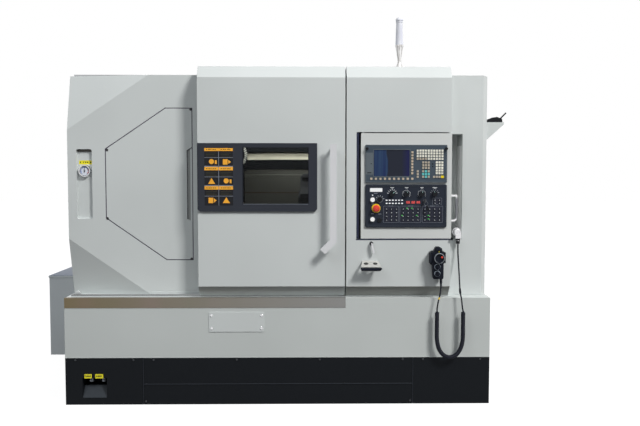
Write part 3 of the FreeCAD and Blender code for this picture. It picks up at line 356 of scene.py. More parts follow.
# %% Metal finishes
def brushed(name, colour, rough, run, lines=260, streak=0.10, metal=1.0, shine=0.5):
    """Brushed metal whose lines run along one axis: 0, 1 or 2."""
    material, tree, surface, place = start_material(name)
    stretch = [1.0, 1.0, 1.0]
    stretch[run] = 0.012
    grain = noise(tree, place, lines, 3.0, stretch)
    drift = spread(tree, noise(tree, place, 2.2))
    fill(tree, surface, {
        "Metallic": metal, "Specular IOR Level": shine,
        "Base Color": blend(tree, drift, scaled(colour, 0.93), scaled(colour, 1.05)),
        "Roughness": spread(tree, grain, rough - streak, rough + streak),
        "Normal": bump(tree, grain, 0.02, 0.25)})
    return material


def plated(name, colour, rough):
    """Smooth metal with faint polishing marks."""
    material, tree, surface, place = start_material(name)
    marks = spread(tree, noise(tree, place, 180, 3.0))
    fill(tree, surface, {
        "Metallic": 1.0,
        "Base Color": blend(tree, marks, scaled(colour, 0.95), scaled(colour, 1.03)),
        "Roughness": spread(tree, noise(tree, place, 90), rough - 0.04, rough + 0.05)})
    return material


LINER_STEEL = brushed("liner_steel", shade(112, 112, 106), 0.42, 0, 260, 0.08, 0.7, 0.3)
GROUND_STEEL = brushed("ground_steel", shade(170, 172, 174), 0.28, 0)
DARK_STEEL = brushed("dark_steel", shade(46, 48, 52), 0.40, 1, 260, 0.1, 0.4, 0.3)
HANDLE_METAL = brushed("handle_metal", shade(206, 207, 210), 0.42, 2, 400, 0.05, 0.4)
CHROME = plated("chrome", shade(214, 214, 216), 0.14)
VALVE_METAL = plated("valve_metal", shade(96, 100, 106), 0.45)
KEY_METAL = brushed("key_metal", shade(70, 72, 78), 0.4, 1, 300, 0.06, 0.3)
print("metals ready, materials:", len(bpy.data.materials))

# %% [markdown]
# ## Moulded plastic
# Housings, knobs and keys are moulded. The mould is spark-eroded, which leaves a soft grain of a
# few hundredths of a millimetre and a dull, slightly uneven sheen. Glossier pieces, such as push
# buttons, have the same recipe without the grain, and lamps glow a little in their own colour. The
# white push buttons and the white plate on the board also get a faint painted glow, though they are
# no lamps.


# %% Plastic finishes
def moulded(name, colour, rough=0.45, grain_mm=0.03, glow_strength=0.0, shine=0.5):
    """Moulded plastic, optionally glowing: lamps lit from behind, or a painted glow on white
    pieces.
    """
    material, tree, surface, place = start_material(name)
    fill(tree, surface, {
        "Specular IOR Level": shine,
        "Base Color": blend(tree, spread(tree, noise(tree, place, 14)), scaled(colour, 0.94),
                            scaled(colour, 1.06)),
        "Roughness": spread(tree, noise(tree, place, 240), rough - 0.05, rough + 0.06),
        "Normal": bump(tree, noise(tree, place, 1500, 1.0), grain_mm, 0.4)})
    if glow_strength:
        fill(tree, surface, {"Emission Color": colour, "Emission Strength": glow_strength})
    return material


UNIT_PLASTIC = moulded("unit_plastic", shade(66, 77, 88), 0.5, 0.03, 0.0, 0.2)
BOARD_PLASTIC = moulded("board_plastic", shade(40, 45, 56), 0.5, 0.03, 0.0, 0.12)
KNOB_BLACK = moulded("knob_black", shade(20, 22, 27), 0.38, 0.03, 0.0, 0.15)
PENDANT_BLACK = moulded("pendant_black", shade(22, 26, 36), 0.5, 0.03, 0.0, 0.1)
# The white buttons and plate glow faintly: painted light that makes them lighter, not a lamp.
BUTTON_WHITE_GLOW = moulded("button_white_glow", shade(246, 247, 248), 0.25, 0.0, 0.12)
STOP_RED = moulded("stop_red", shade(224, 60, 42), 0.28, 0.0)
print("plastics ready, materials:", len(bpy.data.materials))

# %% [markdown]
# ## Glass
# The window is a thick flat pane. Blender's glass shader would refract and darken the closed box
# behind it. For a flat pane a simple mix works better: most light goes straight through with a
# light tint, and Fresnel adds a reflection. Only the outer face reflects, since the back of the
# pane would otherwise turn into a mirror for rays that leave at a flat angle.

# %% Window pane
PANE, tree = empty_material("window_pane")
smears = noise(tree, node(tree, "TexCoord").outputs["Object"], 6, 4.0)
through = node(tree, "BsdfTransparent", {"Color": blend(tree, smears, (0.62, 0.64, 0.64, 1),
                                                        (0.70, 0.72, 0.72, 1))})
mirror = node(tree, "BsdfGlossy", {"Roughness": 0.02})
facing = node(tree, "Fresnel", {"IOR": 1.2}).outputs[0]
outer_face = sums(tree, "SUBTRACT", 1.0, node(tree, "NewGeometry").outputs["Backfacing"])
pane_mix = node(tree, "MixShader", {0: sums(tree, "MULTIPLY", facing, outer_face),
                                    1: through.outputs[0], 2: mirror.outputs[0]})
node(tree, "OutputMaterial", {"Surface": pane_mix.outputs[0]})
print("pane tinted")

# %% [markdown]
# ## Strip on the ledge
# The brushed strip reflects a warm floor at its left end and a cool one at its right, with broad
# brown and olive patches between them. A gradient along the strip carries the change from warm to
# cool, and a noise that varies only along its length makes the patches, both under the same
# brushed lines.

# %% Ledge strip
STRIP_STEEL = brushed("strip_steel", shade(120, 114, 98), 0.40, 0, 320, 0.08, 0.5, 0.3)
tree = STRIP_STEEL.node_tree
place = node(tree, "TexCoord").outputs["Object"]
strip_low, strip_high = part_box("steel_strip")
coolness = span(tree, axes_of(tree, place)["X"], strip_low.x, strip_high.x)
patches = blend(tree, spread(tree, noise(tree, place, 3.2, 2.0, (1, 0, 0))), shade(108, 102, 70),
                shade(122, 104, 88))
fill(tree, tree.nodes["Principled BSDF"],
     {"Base Color": blend(tree, coolness, patches, shade(134, 134, 133))})
print("strip runs from", round(strip_low.x, 3), "to", round(strip_high.x, 3))

# %% [markdown]
# ## Signal tower and side grip
# The tower's clear tube and silver foot show upright streaks, light and lavender or grey, where the
# ribs inside them catch the light. A noise that is long in the upright direction paints these
# highlights into the colour. The panel's grip has a painted highlight at its two bent ends and a
# painted reflection of the dark board between them, so its colour follows the distance from its
# middle.


# %% Tower and grip finishes, with painted highlights and reflection
def highlight_streaked(name, dark, light, rough, metal, lines=120):
    """Painted highlights: upright streaks between two tones, as a ribbed tube shows them."""
    material, tree, surface, place = start_material(name)
    streaks = spread(tree, noise(tree, place, lines, 2.0, (1, 1, 0.02)))
    fill(tree, surface, {"Metallic": metal, "Roughness": rough,
                         "Base Color": blend(tree, streaks, dark, light)})
    return material


# Painted highlights on the tower: streaks where the ribs catch the light.
TOWER_SILVER = highlight_streaked("tower_silver", shade(168, 164, 162), shade(250, 250, 250), 0.3, 0.5)
TOWER_CLEAR = highlight_streaked("tower_clear", shade(200, 203, 222), shade(253, 254, 255), 0.25, 0.0, 160)
GRIP_METAL = brushed("grip_metal", shade(180, 180, 184), 0.35, 2, 400, 0.05, 0.4)
# The grip's colour is painted light: pale at the bent ends as a highlight, grey between them as a
# reflection of the dark board.
GRIP_HIGHLIGHT_STARTS, GRIP_HIGHLIGHT_ENDS = 0.056, 0.072
tree = GRIP_METAL.node_tree
grip_low, grip_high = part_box("panel_grip")
up = axes_of(tree, node(tree, "TexCoord").outputs["Object"])["Z"]
from_middle = sums(tree, "SUBTRACT", up, (grip_low.z + grip_high.z) / 2)
reach = node(tree, "Math", {0: from_middle}, operation="ABSOLUTE").outputs[0]
fill(tree, tree.nodes["Principled BSDF"],
     {"Base Color": blend(tree, span(tree, reach, GRIP_HIGHLIGHT_STARTS, GRIP_HIGHLIGHT_ENDS),
                          shade(118, 120, 126), shade(240, 240, 242))})
print("grip is", round(grip_high.z - grip_low.z, 3), "m tall")

# %% [markdown]
# ## Finish for every piece of the frame
# One table gives each piece its finish, in the words a fitter would use for it. The folded sheet
# pieces and the handle also get a weld and a narrow bevel as modifiers: the shape stays the
# measured one, but its edges catch a line of light as a bent or filed edge does.

# %% Dress the frame
FINISHES = {
    COVER_PAINT: ["left_cover", "access_cover", "right_cover", "roof_panel", "rear_panel",
                  "operator_cabinet", "door_shell", "tool_tray", "base_cover_plate"],
    BASE_PAINT: ["base_casing"],
    PANEL_PAINT: ["panel_box"],
    PLINTH_PAINT: ["plinth_skirt"],
    FRAME_PAINT: ["window_frame"],
    TANK_PAINT: ["coolant_tank"],
    CASTING_PAINT: ["bed_casting", "headstock", "saddle", "cross_slide", "tailstock"],
    LINER_STEEL: ["chamber_liner"],
    STRIP_STEEL: ["steel_strip"],
    GROUND_STEEL: ["z_guideways", "chuck", "door_rails"],
    DARK_STEEL: ["chuck_jaw_1", "chuck_jaw_2", "chuck_jaw_3", "turret_disc"],
    HANDLE_METAL: ["door_handle"],
    CHROME: ["connector"],
    KEY_METAL: ["key_switch"],
    VALVE_METAL: ["drain_plugs"],
    RACK_SHADED_PAINT: ["tool_rack"],
    GRIP_METAL: ["panel_grip"],
    PENDANT_BLACK: ["pendant_body", "pendant_holder", "axis_knob", "rate_knob", "handwheel"],
    UNIT_PLASTIC: ["cnc_unit"],
    BOARD_PLASTIC: ["control_board"],
    KNOB_BLACK: ["override_knob_1", "override_knob_2", "override_knob_3", "override_knob_4",
                 "mode_knob", "hook", "wash_gun", "gun_trigger", "pressure_gauge"],
    NEEDLE_PAINT: ["gauge_needle"],
    STOP_RED: ["estop_button"],
    BUTTON_WHITE_GLOW: ["start_button", "stop_button"],
    TOWER_SILVER: ["tower_base"],
    TOWER_CLEAR: ["tower_lens"],
    PANE: ["window_glass"],
}
FOLDED = ["left_cover", "right_cover", "operator_cabinet", "door_shell", "base_casing",
          "panel_box", "coolant_tank", "window_frame", "plinth_skirt", "door_handle",
          "access_cover", "tool_tray", "tool_rack", "roof_panel"]
FOLD_EDGE_MM = 1.6
WELD_M = 0.00001


def give(thing, material):
    """Put one material on a piece."""
    thing.data.materials.clear()
    thing.data.materials.append(material)


for material, names in FINISHES.items():
    for name in names:
        give(nodes[name], material)
for name in FOLDED:
    weld = nodes[name].modifiers.new("weld", "WELD")
    weld.merge_threshold = WELD_M
    edge = nodes[name].modifiers.new("edge", "BEVEL")
    edge.width = FOLD_EDGE_MM * MM
    edge.segments = 2
    edge.limit_method = "ANGLE"
    edge.angle_limit = math.radians(30)
    edge.harden_normals = True
dressed = {name for names in FINISHES.values() for name in names}
print("left undressed:", sorted(set(nodes) - dressed))

# %% [markdown]
# ## Pendant cord
# The hand-held pendant hangs on one cord: straight out of the plug, a tight curly stretch on a
# deep bow, and straight again up into the pendant. The straight stretches are a NURBS spline
# through a few listed points. The curls wind round the bow's own line, which is read back
# from such a spline, so that their spacing follows its real length.

# %% Route of the cord
# Points in shop sizes, from the plug down, round the bow and up to the pendant.
UPPER_ROUTE = [(1091, 74, 962), (1091, 74, 922), (1092, 64, 872), (1091, 40, 820),
               (1088, 10, 775), (1085, -16, 728), (1085, -33, 682), (1094, -39, 640)]
INTO_CURLS = (1097, -40, 598)
BOW = [(1103, -40, 590), (1103, -40, 545), (1103, -40, 500), (1103, -40, 450),
       (1103, -40, 395), (1090, -40, 340), (1060, -40, 302), (1025, -40, 292),
       (990, -40, 302), (960, -40, 340), (947, -40, 395), (947, -40, 450),
       (947, -40, 500), (947, -40, 545), (947, -40, 590)]
LOWER_ROUTE = [(955, -41, 637), (965, -42, 674), (968, -42, 714), (968, -42, 742)]


def nurbs(name, points, resolution):
    """A smooth open curve held by its points."""
    curve = bpy.data.curves.new(name, "CURVE")
    curve.dimensions = "3D"
    spline = curve.splines.new("NURBS")
    spline.points.add(len(points) - 1)
    for point, place in zip(spline.points, points):
        point.co = (*place, 1.0)
    spline.order_u = 3
    spline.use_endpoint_u = True
    curve.resolution_u = resolution
    thing = bpy.data.objects.new(name, curve)
    scene.collection.objects.link(thing)
    return thing


def read_back(points, resolution):
    """Points along the smooth curve that a route gives."""
    guide = nurbs("guide", points, resolution)
    mesh = bpy.data.meshes.new_from_object(guide)
    line = [vertex.co.copy() for vertex in mesh.vertices]
    bpy.data.objects.remove(guide)
    bpy.data.meshes.remove(mesh)
    return line


def walked(points):
    """Length of the way from the first point to each point."""
    lengths = [0.0]
    for before, after in zip(points, points[1:]):
        lengths.append(lengths[-1] + (after - before).length)
    return lengths


bow_line = read_back([at(*place) for place in BOW], 24)
bow_runs = walked(bow_line)
print("bow is", round(bow_runs[-1] * 1000), "mm long")

# %% Curls of the cord
CURLS = 90
CURL_MM = 9.0
STEPS_A_CURL = 14
CURL_START = 0.020
ALL_STEPS = CURLS * STEPS_A_CURL


def on_bow(run):
    """Point and direction of the bow after a given run."""
    index = max(1, next((number for number, length in enumerate(bow_runs) if length >= run),
                        len(bow_runs) - 1))
    before, after = bow_line[index - 1], bow_line[index]
    part = (run - bow_runs[index - 1]) / max(bow_runs[index] - bow_runs[index - 1], 1e-9)
    return before.lerp(after, min(max(part, 0), 1)), (after - before).normalized()


side = Vector((0, 1, 0))
helix = []
for step in range(ALL_STEPS + 1):
    done = step / ALL_STEPS
    middle, ahead = on_bow(CURL_START + (bow_runs[-1] - 2 * CURL_START) * done)
    out = side.cross(ahead).normalized()
    phase = 2 * math.pi * CURLS * done
    grow = min(1, step / STEPS_A_CURL, (ALL_STEPS - step) / STEPS_A_CURL)
    helix.append(middle + (out * math.cos(phase) + side * math.sin(phase)) * CURL_MM * MM * grow)
print("points on the curls:", len(helix))

# %% Cord
CORD_MM = 8.8
CORD_RESOLUTION = 3
RUBBER = moulded("rubber", shade(24, 26, 36), 0.5, 0.04, 0.0, 0.15)
route = ([at(*place) for place in UPPER_ROUTE] + [at(*INTO_CURLS)] + helix
         + [at(*BOW[-1])] + [at(*place) for place in LOWER_ROUTE])
cord = nurbs("pendant_cord", route, CORD_RESOLUTION)
cord.data.bevel_depth = CORD_MM / 2 * MM
cord.data.bevel_resolution = 3
cord.data.materials.append(RUBBER)
cord_line = read_back(route, CORD_RESOLUTION)
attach(cord, "machine")
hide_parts("cord_upper", "cord_curl", "cord_lower")

# %% [markdown]
# ## Small pieces by skinning rings
# Keys, knobs, screws and lamps are all stacks of outlines, from the one that sits on the sheet to
# the one that faces the operator. A small class gathers such stacks as closed skins, so one mesh
# can hold forty keys, each with its shoulder and its dished top, instead of forty plain blocks.
# Rings and frames are the same with the last outline joined to the first, which leaves the middle
# open.


# %% Stock for small pieces
SMOOTH_DEGREES = 32


class Stock:
    """Points and faces gathered for one piece."""

    def __init__(self):
        self.points = []
        self.faces = []

    def join(self, first, one, two, count):
        """Faces between two rings of equally many points."""
        for step in range(count):
            after = (step + 1) % count
            self.faces.append((first + one * count + step, first + one * count + after,
                               first + two * count + after, first + two * count + step))

    def skin(self, rings):
        """Join rings in a row and close both ends."""
        first, count = len(self.points), len(rings[0])
        for number, ring in enumerate(rings):
            self.points += ring
            if number:
                self.join(first, number - 1, number, count)
        last = len(self.points)
        self.faces.append(tuple(range(first + count - 1, first - 1, -1)))
        self.faces.append(tuple(range(last - count, last)))

    def loop(self, rings):
        """Join rings in a row, and the last to the first."""
        first, count = len(self.points), len(rings[0])
        for number, ring in enumerate(rings):
            self.points += ring
            self.join(first, number, (number + 1) % len(rings), count)

    def make(self, name, material, body="machine", slot="dark_plastic"):
        """Turn the stock into a piece that rides on a body."""
        mesh = bpy.data.meshes.new(name)
        mesh.from_pydata(self.points, [], self.faces)
        work = bmesh.new()
        work.from_mesh(mesh)
        bmesh.ops.recalc_face_normals(work, faces=work.faces)
        work.to_mesh(mesh)
        work.free()
        mesh.shade_smooth()
        mesh.set_sharp_from_angle(angle=math.radians(SMOOTH_DEGREES))
        thing = bpy.data.objects.new(name, mesh)
        scene.collection.objects.link(thing)
        give(thing, material)
        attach(thing, body)
        return thing


def hoop(middle, ahead, hint, radius, steps):
    """Ring of points round a line that runs ahead; the hint says where the ring starts."""
    across = ahead.cross(Vector(hint)).normalized()
    above = ahead.cross(across)
    turns = [2 * math.pi * step / steps for step in range(steps)]
    return [middle + (across * math.cos(angle) + above * math.sin(angle)) * radius * MM
            for angle in turns]


print("stock joins rings by skin or by loop, and makes a piece of them")

# %% [markdown]
# ## Band and sleeve on the cord
# A yellow band marks the pendant's end of the cord and a shrunk sleeve covers a joint in its upper
# stretch. Plain cylinders would stick out where the cord bends. So both are rings threaded on the
# points of the cord's own line.


# %% Band and sleeve
def jacket_on_cord(name, low, high, left_of, radius, material):
    """Tube round the cord's own line between two heights, on one side of the bow."""
    middle = at(1025, 0, 0).x
    points = [point for point in cord_line if low * MM <= point.z <= high * MM
              and (point.x < middle) == left_of]
    last = len(points) - 1
    stock = Stock()
    rings = []
    for number, point in enumerate(points):
        ahead = (points[min(number + 1, last)] - points[max(number - 1, 0)]).normalized()
        rings.append(hoop(point, ahead, (0, 1, 0), radius - (0.5 if number in (0, last) else 0),
                          20))
    stock.skin(rings)
    print(name, "has", len(rings), "rings")
    return stock.make(name, material, slot="cord_jacket")


STOP_YELLOW = moulded("stop_yellow", shade(240, 204, 30), 0.35, 0.0)
yellow_band = jacket_on_cord("cord_band", 634, 658, True, CORD_MM / 2 + 0.7, STOP_YELLOW)
cord_sleeve = jacket_on_cord("cord_sleeve", 664, 716, False, CORD_MM / 2 + 2.0, RUBBER)

# %% [markdown]
# ## Key caps
# A key cap is moulded with shoulders that draw in towards a slightly dished top, which is where a
# finger rests. Four rounded outlines, one behind the other, give that shape: the foot, the
# shoulder, the rim of the top and the bottom of the dish.


# %% Outlines and key caps
def frame_ring(box, inset, back, corner=0.0, steps=3):
    """Outline of a box seen from the front, inset and with rounded corners."""
    left, low, right, high = box
    left, low, right, high = left + inset, low + inset, right - inset, high - inset
    corner = max(corner - inset, 0.01)
    ring = []
    for middle_x, middle_z, start in ((right - corner, high - corner, 0),
                                      (left + corner, high - corner, 90),
                                      (left + corner, low + corner, 180),
                                      (right - corner, low + corner, 270)):
        for step in range(steps + 1):
            angle = math.radians(start + 90 * step / steps)
            ring.append(at(middle_x + corner * math.cos(angle), back,
                           middle_z + corner * math.sin(angle)))
    return ring


def box_round(x, z, wide, tall):
    """Left, low, right and high of a box round a middle."""
    return x - wide / 2, z - tall / 2, x + wide / 2, z + tall / 2


def key_cap(stock, x, z, wide, tall, seat, proud):
    """Moulded key: shoulders that draw in and a dished top."""
    stock.skin([frame_ring(box_round(x, z, wide, tall), inset, back, 1.2, 2)
                for inset, back in ((0, seat), (0.3, seat - proud * 0.7), (1.2, seat - proud),
                                    (2.6, seat - proud + 0.4))])


print("corners of an outline:", len(frame_ring((0, 0, 10, 10), 0, 0)))

# %% [markdown]
# ## Keys of the control unit
# The unit has four kinds of key: cream letter and number keys, tan soft keys round the screen,
# darker function keys and a turquoise cross. Each field is a regular grid, so a field is written
# as its first key, its pitch and its size. Every cap sits over the measured key below it.

# %% Key fields of the unit
PANEL = "operator_panel"
BEZEL = -9
CAP_PROUD = 4.0
CAP_MM = 12.5
LETTER_PITCH = (16.3, 16.1)
FUNCTION_PITCH = (16.6, 16.3)
FUNCTION_START = (861.5, 1370)
CROSS = [(1, 0), (0, 1), (1, 1), (2, 1), (1, 2)]


def field(stock, start, columns, rows, pitch, skip=()):
    """A grid of key caps on the bezel, without the places in skip."""
    for row in range(rows):
        for column in range(columns):
            if (column, row) not in skip:
                key_cap(stock, start[0] + pitch[0] * column, start[1] + pitch[1] * row, CAP_MM,
                        CAP_MM, BEZEL, CAP_PROUD)


cream = Stock()
field(cream, (828.5, 1476), 10, 4, LETTER_PITCH, [(column, 0) for column in range(4)])
field(cream, (942.5, 1391), 3, 5, LETTER_PITCH)
cream.make("letter_keys", moulded("key_cream", shade(240, 238, 226), 0.4), PANEL,
           "white_plastic")
tan = Stock()
field(tan, (554.5, 1358), 10, 1, (27.0, 1))
field(tan, (797, 1391), 1, 8, (1, 17.6))
tan.make("soft_keys", moulded("key_tan", shade(206, 190, 168), 0.4), PANEL, "white_plastic")
beige = Stock()
field(beige, (828.5, 1476), 4, 1, LETTER_PITCH)
field(beige, (861.5, 1422), 3, 3, FUNCTION_PITCH)
field(beige, FUNCTION_START, 3, 3, FUNCTION_PITCH, CROSS)
field(beige, (829.5, 1370), 1, 3, FUNCTION_PITCH)
field(beige, (926.5, 1369.5), 3, 1, LETTER_PITCH)
beige.make("function_keys", moulded("key_beige", shade(186, 176, 160), 0.4), PANEL,
           "white_plastic")
cross = Stock()
for column, row in CROSS:
    key_cap(cross, FUNCTION_START[0] + FUNCTION_PITCH[0] * column,
            FUNCTION_START[1] + FUNCTION_PITCH[1] * row, 13.5, 13.5, BEZEL, CAP_PROUD)
cross.make("cursor_keys", moulded("key_teal", shade(104, 200, 200), 0.4), PANEL,
           "white_plastic")
enter = Stock()
key_cap(enter, 976.5, 1369.5, 17, 15, BEZEL, CAP_PROUD)
enter.make("enter_key", moulded("key_yellow", shade(248, 220, 30), 0.4), PANEL,
           "white_plastic")
print("key caps laid on the bezel, the cross has", len(CROSS))

# %% [markdown]
# ## Screen of the unit
# The screen is a flat panel behind glass. Switched off it mirrors the hall: a tall blue patch with
# faint upright streaks on its left and a darker one on its right. A real mirror would show this
# studio instead, so the patches are drawn as colour with a wavy border, under a dull coat that
# still takes a soft highlight.

# %% Screen finish
SCREEN_BORDER = (0.668, 0.673)
SCREEN_RIGHT = (0.735, 0.782)
SCREEN, tree, surface, place = start_material("screen_glass")
across = axes_of(tree, place)["X"]
wavy = node(tree, "Math", {0: noise(tree, place, 9, 1.0, (0.2, 1, 1)), 1: 0.05, 2: across},
            operation="MULTIPLY_ADD").outputs[0]
streaks = spread(tree, noise(tree, place, 60, 2.0, (1, 1, 0.03)))
left_tone = blend(tree, streaks, shade(28, 42, 84), shade(54, 78, 104))
right_tone = blend(tree, span(tree, across, *SCREEN_RIGHT), shade(34, 38, 50),
                   shade(30, 32, 78))
fill(tree, surface, {"Base Color": blend(tree, span(tree, wavy, *SCREEN_BORDER), left_tone,
                                         right_tone),
                     "Roughness": 0.35, "Specular IOR Level": 0.15})
print("screen glass ready")

# %% [markdown]
# ## Plates, frames and turned parts of the unit
# Most of what is left on the panel is one of three shapes. A plate is a thin pad with a softened
# rim, a frame is raised metal or plastic round an open middle, and a knob is turned on a lathe,
# with flutes where fingers grip it. One helper makes each, and a fourth makes a whole piece of
# equal plates.


# %% Plate, frame and turning helpers
def pad(stock, box, seat, proud, corner=1.0, edge=0.5):
    """Thin plate on a seat, with rounded corners and a softened rim."""
    stock.skin([frame_ring(box, 0, seat, corner), frame_ring(box, 0, seat - proud + edge, corner),
                frame_ring(box, edge, seat - proud, corner)])


def plates(name, boxes, seat, proud, material, body="machine", slot="dark_plastic", corner=1.0,
           edge=0.5):
    """One piece of several plates that are equally thick."""
    stock = Stock()
    for box in boxes:
        pad(stock, box, seat, proud, corner, edge)
    return stock.make(name, material, body, slot)


def rim(stock, box, seat, wide, proud, corner=2.0, edge=0.6):
    """Raised frame: bevelled sides round an open middle."""
    stock.loop([frame_ring(box, inset, seat - rise, corner) for inset, rise in
                ((0, 0), (0, proud - edge), (edge, proud), (wide - edge, proud),
                 (wide, proud - edge), (wide, 0))])


def turned(stock, x, z, profile, steps=28, flutes=0, flute_mm=0.0):
    """Round piece whose axis looks at the operator: pairs of radius and depth."""
    rings = []
    for radius, back in profile:
        ring = []
        for step in range(steps):
            angle = 2 * math.pi * step / steps
            cut = flute_mm * (0.5 - 0.5 * math.cos(angle * flutes)) if flutes else 0
            reach = max(radius - cut * (radius > 4), 0.02)
            ring.append(at(x + reach * math.cos(angle), back, z + reach * math.sin(angle)))
        rings.append(ring)
    stock.skin(rings)


print("helpers: pad, plates, rim, turned")

# %% Screen, trim and knobs of the unit
plates("screen", [(569.5, 1373.5, 781.5, 1529.5)], -6, 0.8, SCREEN, PANEL, "window_pane", 1.5,
       0.3)
trim = Stock()
rim(trim, (566, 1370, 785, 1533), BEZEL, 3.6, 1.2, 3)
rim(trim, (520, 1336, 1003, 1558), BEZEL, 4.0, 1.0, 6)
pad(trim, (524, 1383, 565, 1512), BEZEL, 0.9, 3, 0.5)
trim.make("unit_trim", moulded("unit_trim", shade(82, 91, 98)), PANEL, "unit_plastic")
KNURLED = [(5.4, BEZEL), (5.4, BEZEL - 3), (8.6, BEZEL - 4), (9.2, BEZEL - 6), (9.2, BEZEL - 13),
           (8.0, BEZEL - 14.5), (4.0, BEZEL - 14.8)]
knobs = Stock()
pad(knobs, (530, 1391, 555, 1396.5), BEZEL - 0.9, 0.4, 2, 0.2)
turned(knobs, 553, 1447, [(3.2, BEZEL - 0.9), (3.2, BEZEL - 1.6), (2.4, BEZEL - 2.0)], 16)
for z in (1446, 1431):
    turned(knobs, 918, z, [(4.2, BEZEL), (4.2, BEZEL - 0.8), (3.0, BEZEL - 0.6)], 16)
for x in (528, 997):
    turned(knobs, x, 1536, KNURLED, 60, 15, 0.8)
knobs.make("unit_knobs", KNOB_BLACK, PANEL, "knob_plastic")
print("screen, rim, lid and two knurled screws fitted")

# %% [markdown]
# ## Control board
# Below the unit is a board with a raised edge. It carries three framed fields of small dark keys,
# two rows of lamps, three number displays, and a printed scale round each rotary knob. Printing is
# only a film on the real board; here each mark is a very thin plate, so it can't drift off its
# place or depend on an unwrapped image. The marks on the keys are plain shapes, no signs.


# %% Board fields and keys
def cut_plate(stock, outline, seat, proud, edge=0.0):
    """Plate with any outline of across and up, from its seat towards the front."""
    middle_x = sum(x for x, z in outline) / len(outline)
    middle_z = sum(z for x, z in outline) / len(outline)

    def drawn_in(back, amount):
        ring = []
        for x, z in outline:
            away = math.hypot(x - middle_x, z - middle_z)
            keep = 1 - amount / max(away, 0.1)
            ring.append(at(middle_x + (x - middle_x) * keep, back,
                           middle_z + (z - middle_z) * keep))
        return ring

    stock.skin([drawn_in(seat, 0), drawn_in(seat - proud + edge, 0),
                drawn_in(seat - proud, edge)])


MARK_WHITE = moulded("mark_white", shade(206, 210, 214), 0.5, 0.0)
MARK_GREY = moulded("mark_grey", shade(122, 128, 140), 0.5, 0.0)
board_rim = Stock()
rim(board_rim, (520, 1070, 1003, 1324), BEZEL, 13, 1.6, 10, 1.2)
board_rim.make("board_rim", moulded("board_rim", shade(43, 48, 58), shine=0.12), PANEL,
               "board_plastic")
GROUPS = [(627, 1098, 718, 1197), (724, 1098, 851, 1197), (858, 1098, 981, 1197),
          (919, 1205, 975, 1245)]
plates("key_fields", GROUPS, BEZEL, 0.4, moulded("field_violet", shade(48, 50, 62), shine=0.12),
       PANEL, "board_plastic", 3, 0.2)
outlines = Stock()
for box in GROUPS:
    rim(outlines, box, BEZEL - 0.2, 1.3, 0.5, 3, 0.2)
outlines.make("field_outlines", MARK_GREY, PANEL, "white_plastic")
print("fields on the board:", len(GROUPS))

# %% Keys of the board
# Each field: across of its first key, number of columns, pitch between them.
KEY_GRID = [(646, 3, 29.5), (745, 4, 29.3), (874, 4, 29.0)]
KEY_ROWS = 4
KEY_LOW = 1114
KEY_RISE = 21.7
KEY_SEAT = BEZEL - 0.3
KEY_PROUD = 3.4
MARK_SEAT = BEZEL - 3.2
MARK_PROUD = 0.5
MARKS = [[(-3, -3), (3, -3), (0, 3)], [(-1, -4), (1.2, -4), (1.2, 3), (-1, 3)],
         [(-4, -1), (3, -2.4), (4, 0.4), (-3, 1.8)],
         [(-2.5, -2.5), (2.5, -2.5), (2.5, 2), (-2.5, 2)]]
CORNER_MARK = [(-2.5, -4), (3, -3), (1, 4)]
board_keys = Stock()
key_marks = Stock()


def marked_key(x, z, wide, tall, mark):
    """One dark key with a plain mark on it."""
    key_cap(board_keys, x, z, wide, tall, KEY_SEAT, KEY_PROUD)
    cut_plate(key_marks, [(x + dx, z + dz) for dx, dz in mark], MARK_SEAT, MARK_PROUD, 0.1)


for number, (left, columns, pitch) in enumerate(KEY_GRID):
    for row in range(KEY_ROWS):
        for column in range(columns):
            kind = (number + 2 * row + 3 * column) % len(MARKS)
            marked_key(left + pitch * column, KEY_LOW + KEY_RISE * row, 17.5, 15.5, MARKS[kind])
for x in (933, 960):
    for z in (1214, 1233):
        marked_key(x, z, 16, 14, CORNER_MARK)
KEY_DARK = moulded("key_dark", shade(30, 34, 46), 0.35, 0.03, 0.0, 0.2)
board_keys.make("board_keys", KEY_DARK, PANEL, "dark_plastic")
key_marks.make("key_marks", MARK_WHITE, PANEL, "white_plastic")
LIT_KEYS = [(768, 1184), (797, 1184), (739, 1141), (826, 1141), (896, 1141), (896, 1120)]
plates("status_lamps", [(x - 5, z - 2.4, x + 4, z + 2.4) for x, z in LIT_KEYS], BEZEL - 3.3, 0.7,
       moulded("lamp_green", shade(70, 190, 80), 0.3, 0.0, 0.3), PANEL, "white_plastic", 1, 0.3)
print("board keys:", sum(columns * KEY_ROWS for left, columns, pitch in KEY_GRID) + 4)

# %% [markdown]
# ## Lamps and number displays
# Twelve small white lamps stand in two rows. The three displays are dark red windows, and each
# shows two digits of seven lit bars. Drawn as bars they keep a crisp edge close up, and a digit
# costs no more than seven thin plates.

# %% Lamps and displays
LAMP_LEFT, LAMP_PITCH, LAMP_ROWS = 646, 18.4, (1212.5, 1231)
lamps = Stock()
for column in range(6):
    for z in LAMP_ROWS:
        pad(lamps, box_round(LAMP_LEFT + LAMP_PITCH * column, z, 11.6, 7.8), BEZEL, 2.6, 3, 1.0)
pad(lamps, (559, 1258, 566, 1264), BEZEL, 0.5, 1, 0.2)
lamps.make("board_lamps", moulded("lamp_white", shade(235, 238, 242), 0.3, 0.0, 0.25), PANEL,
           "white_plastic")
plates("board_plate", [(547, 1281, 620, 1303)], BEZEL, 1.0, BUTTON_WHITE_GLOW, PANEL, "white_plastic",
       2, 0.4)
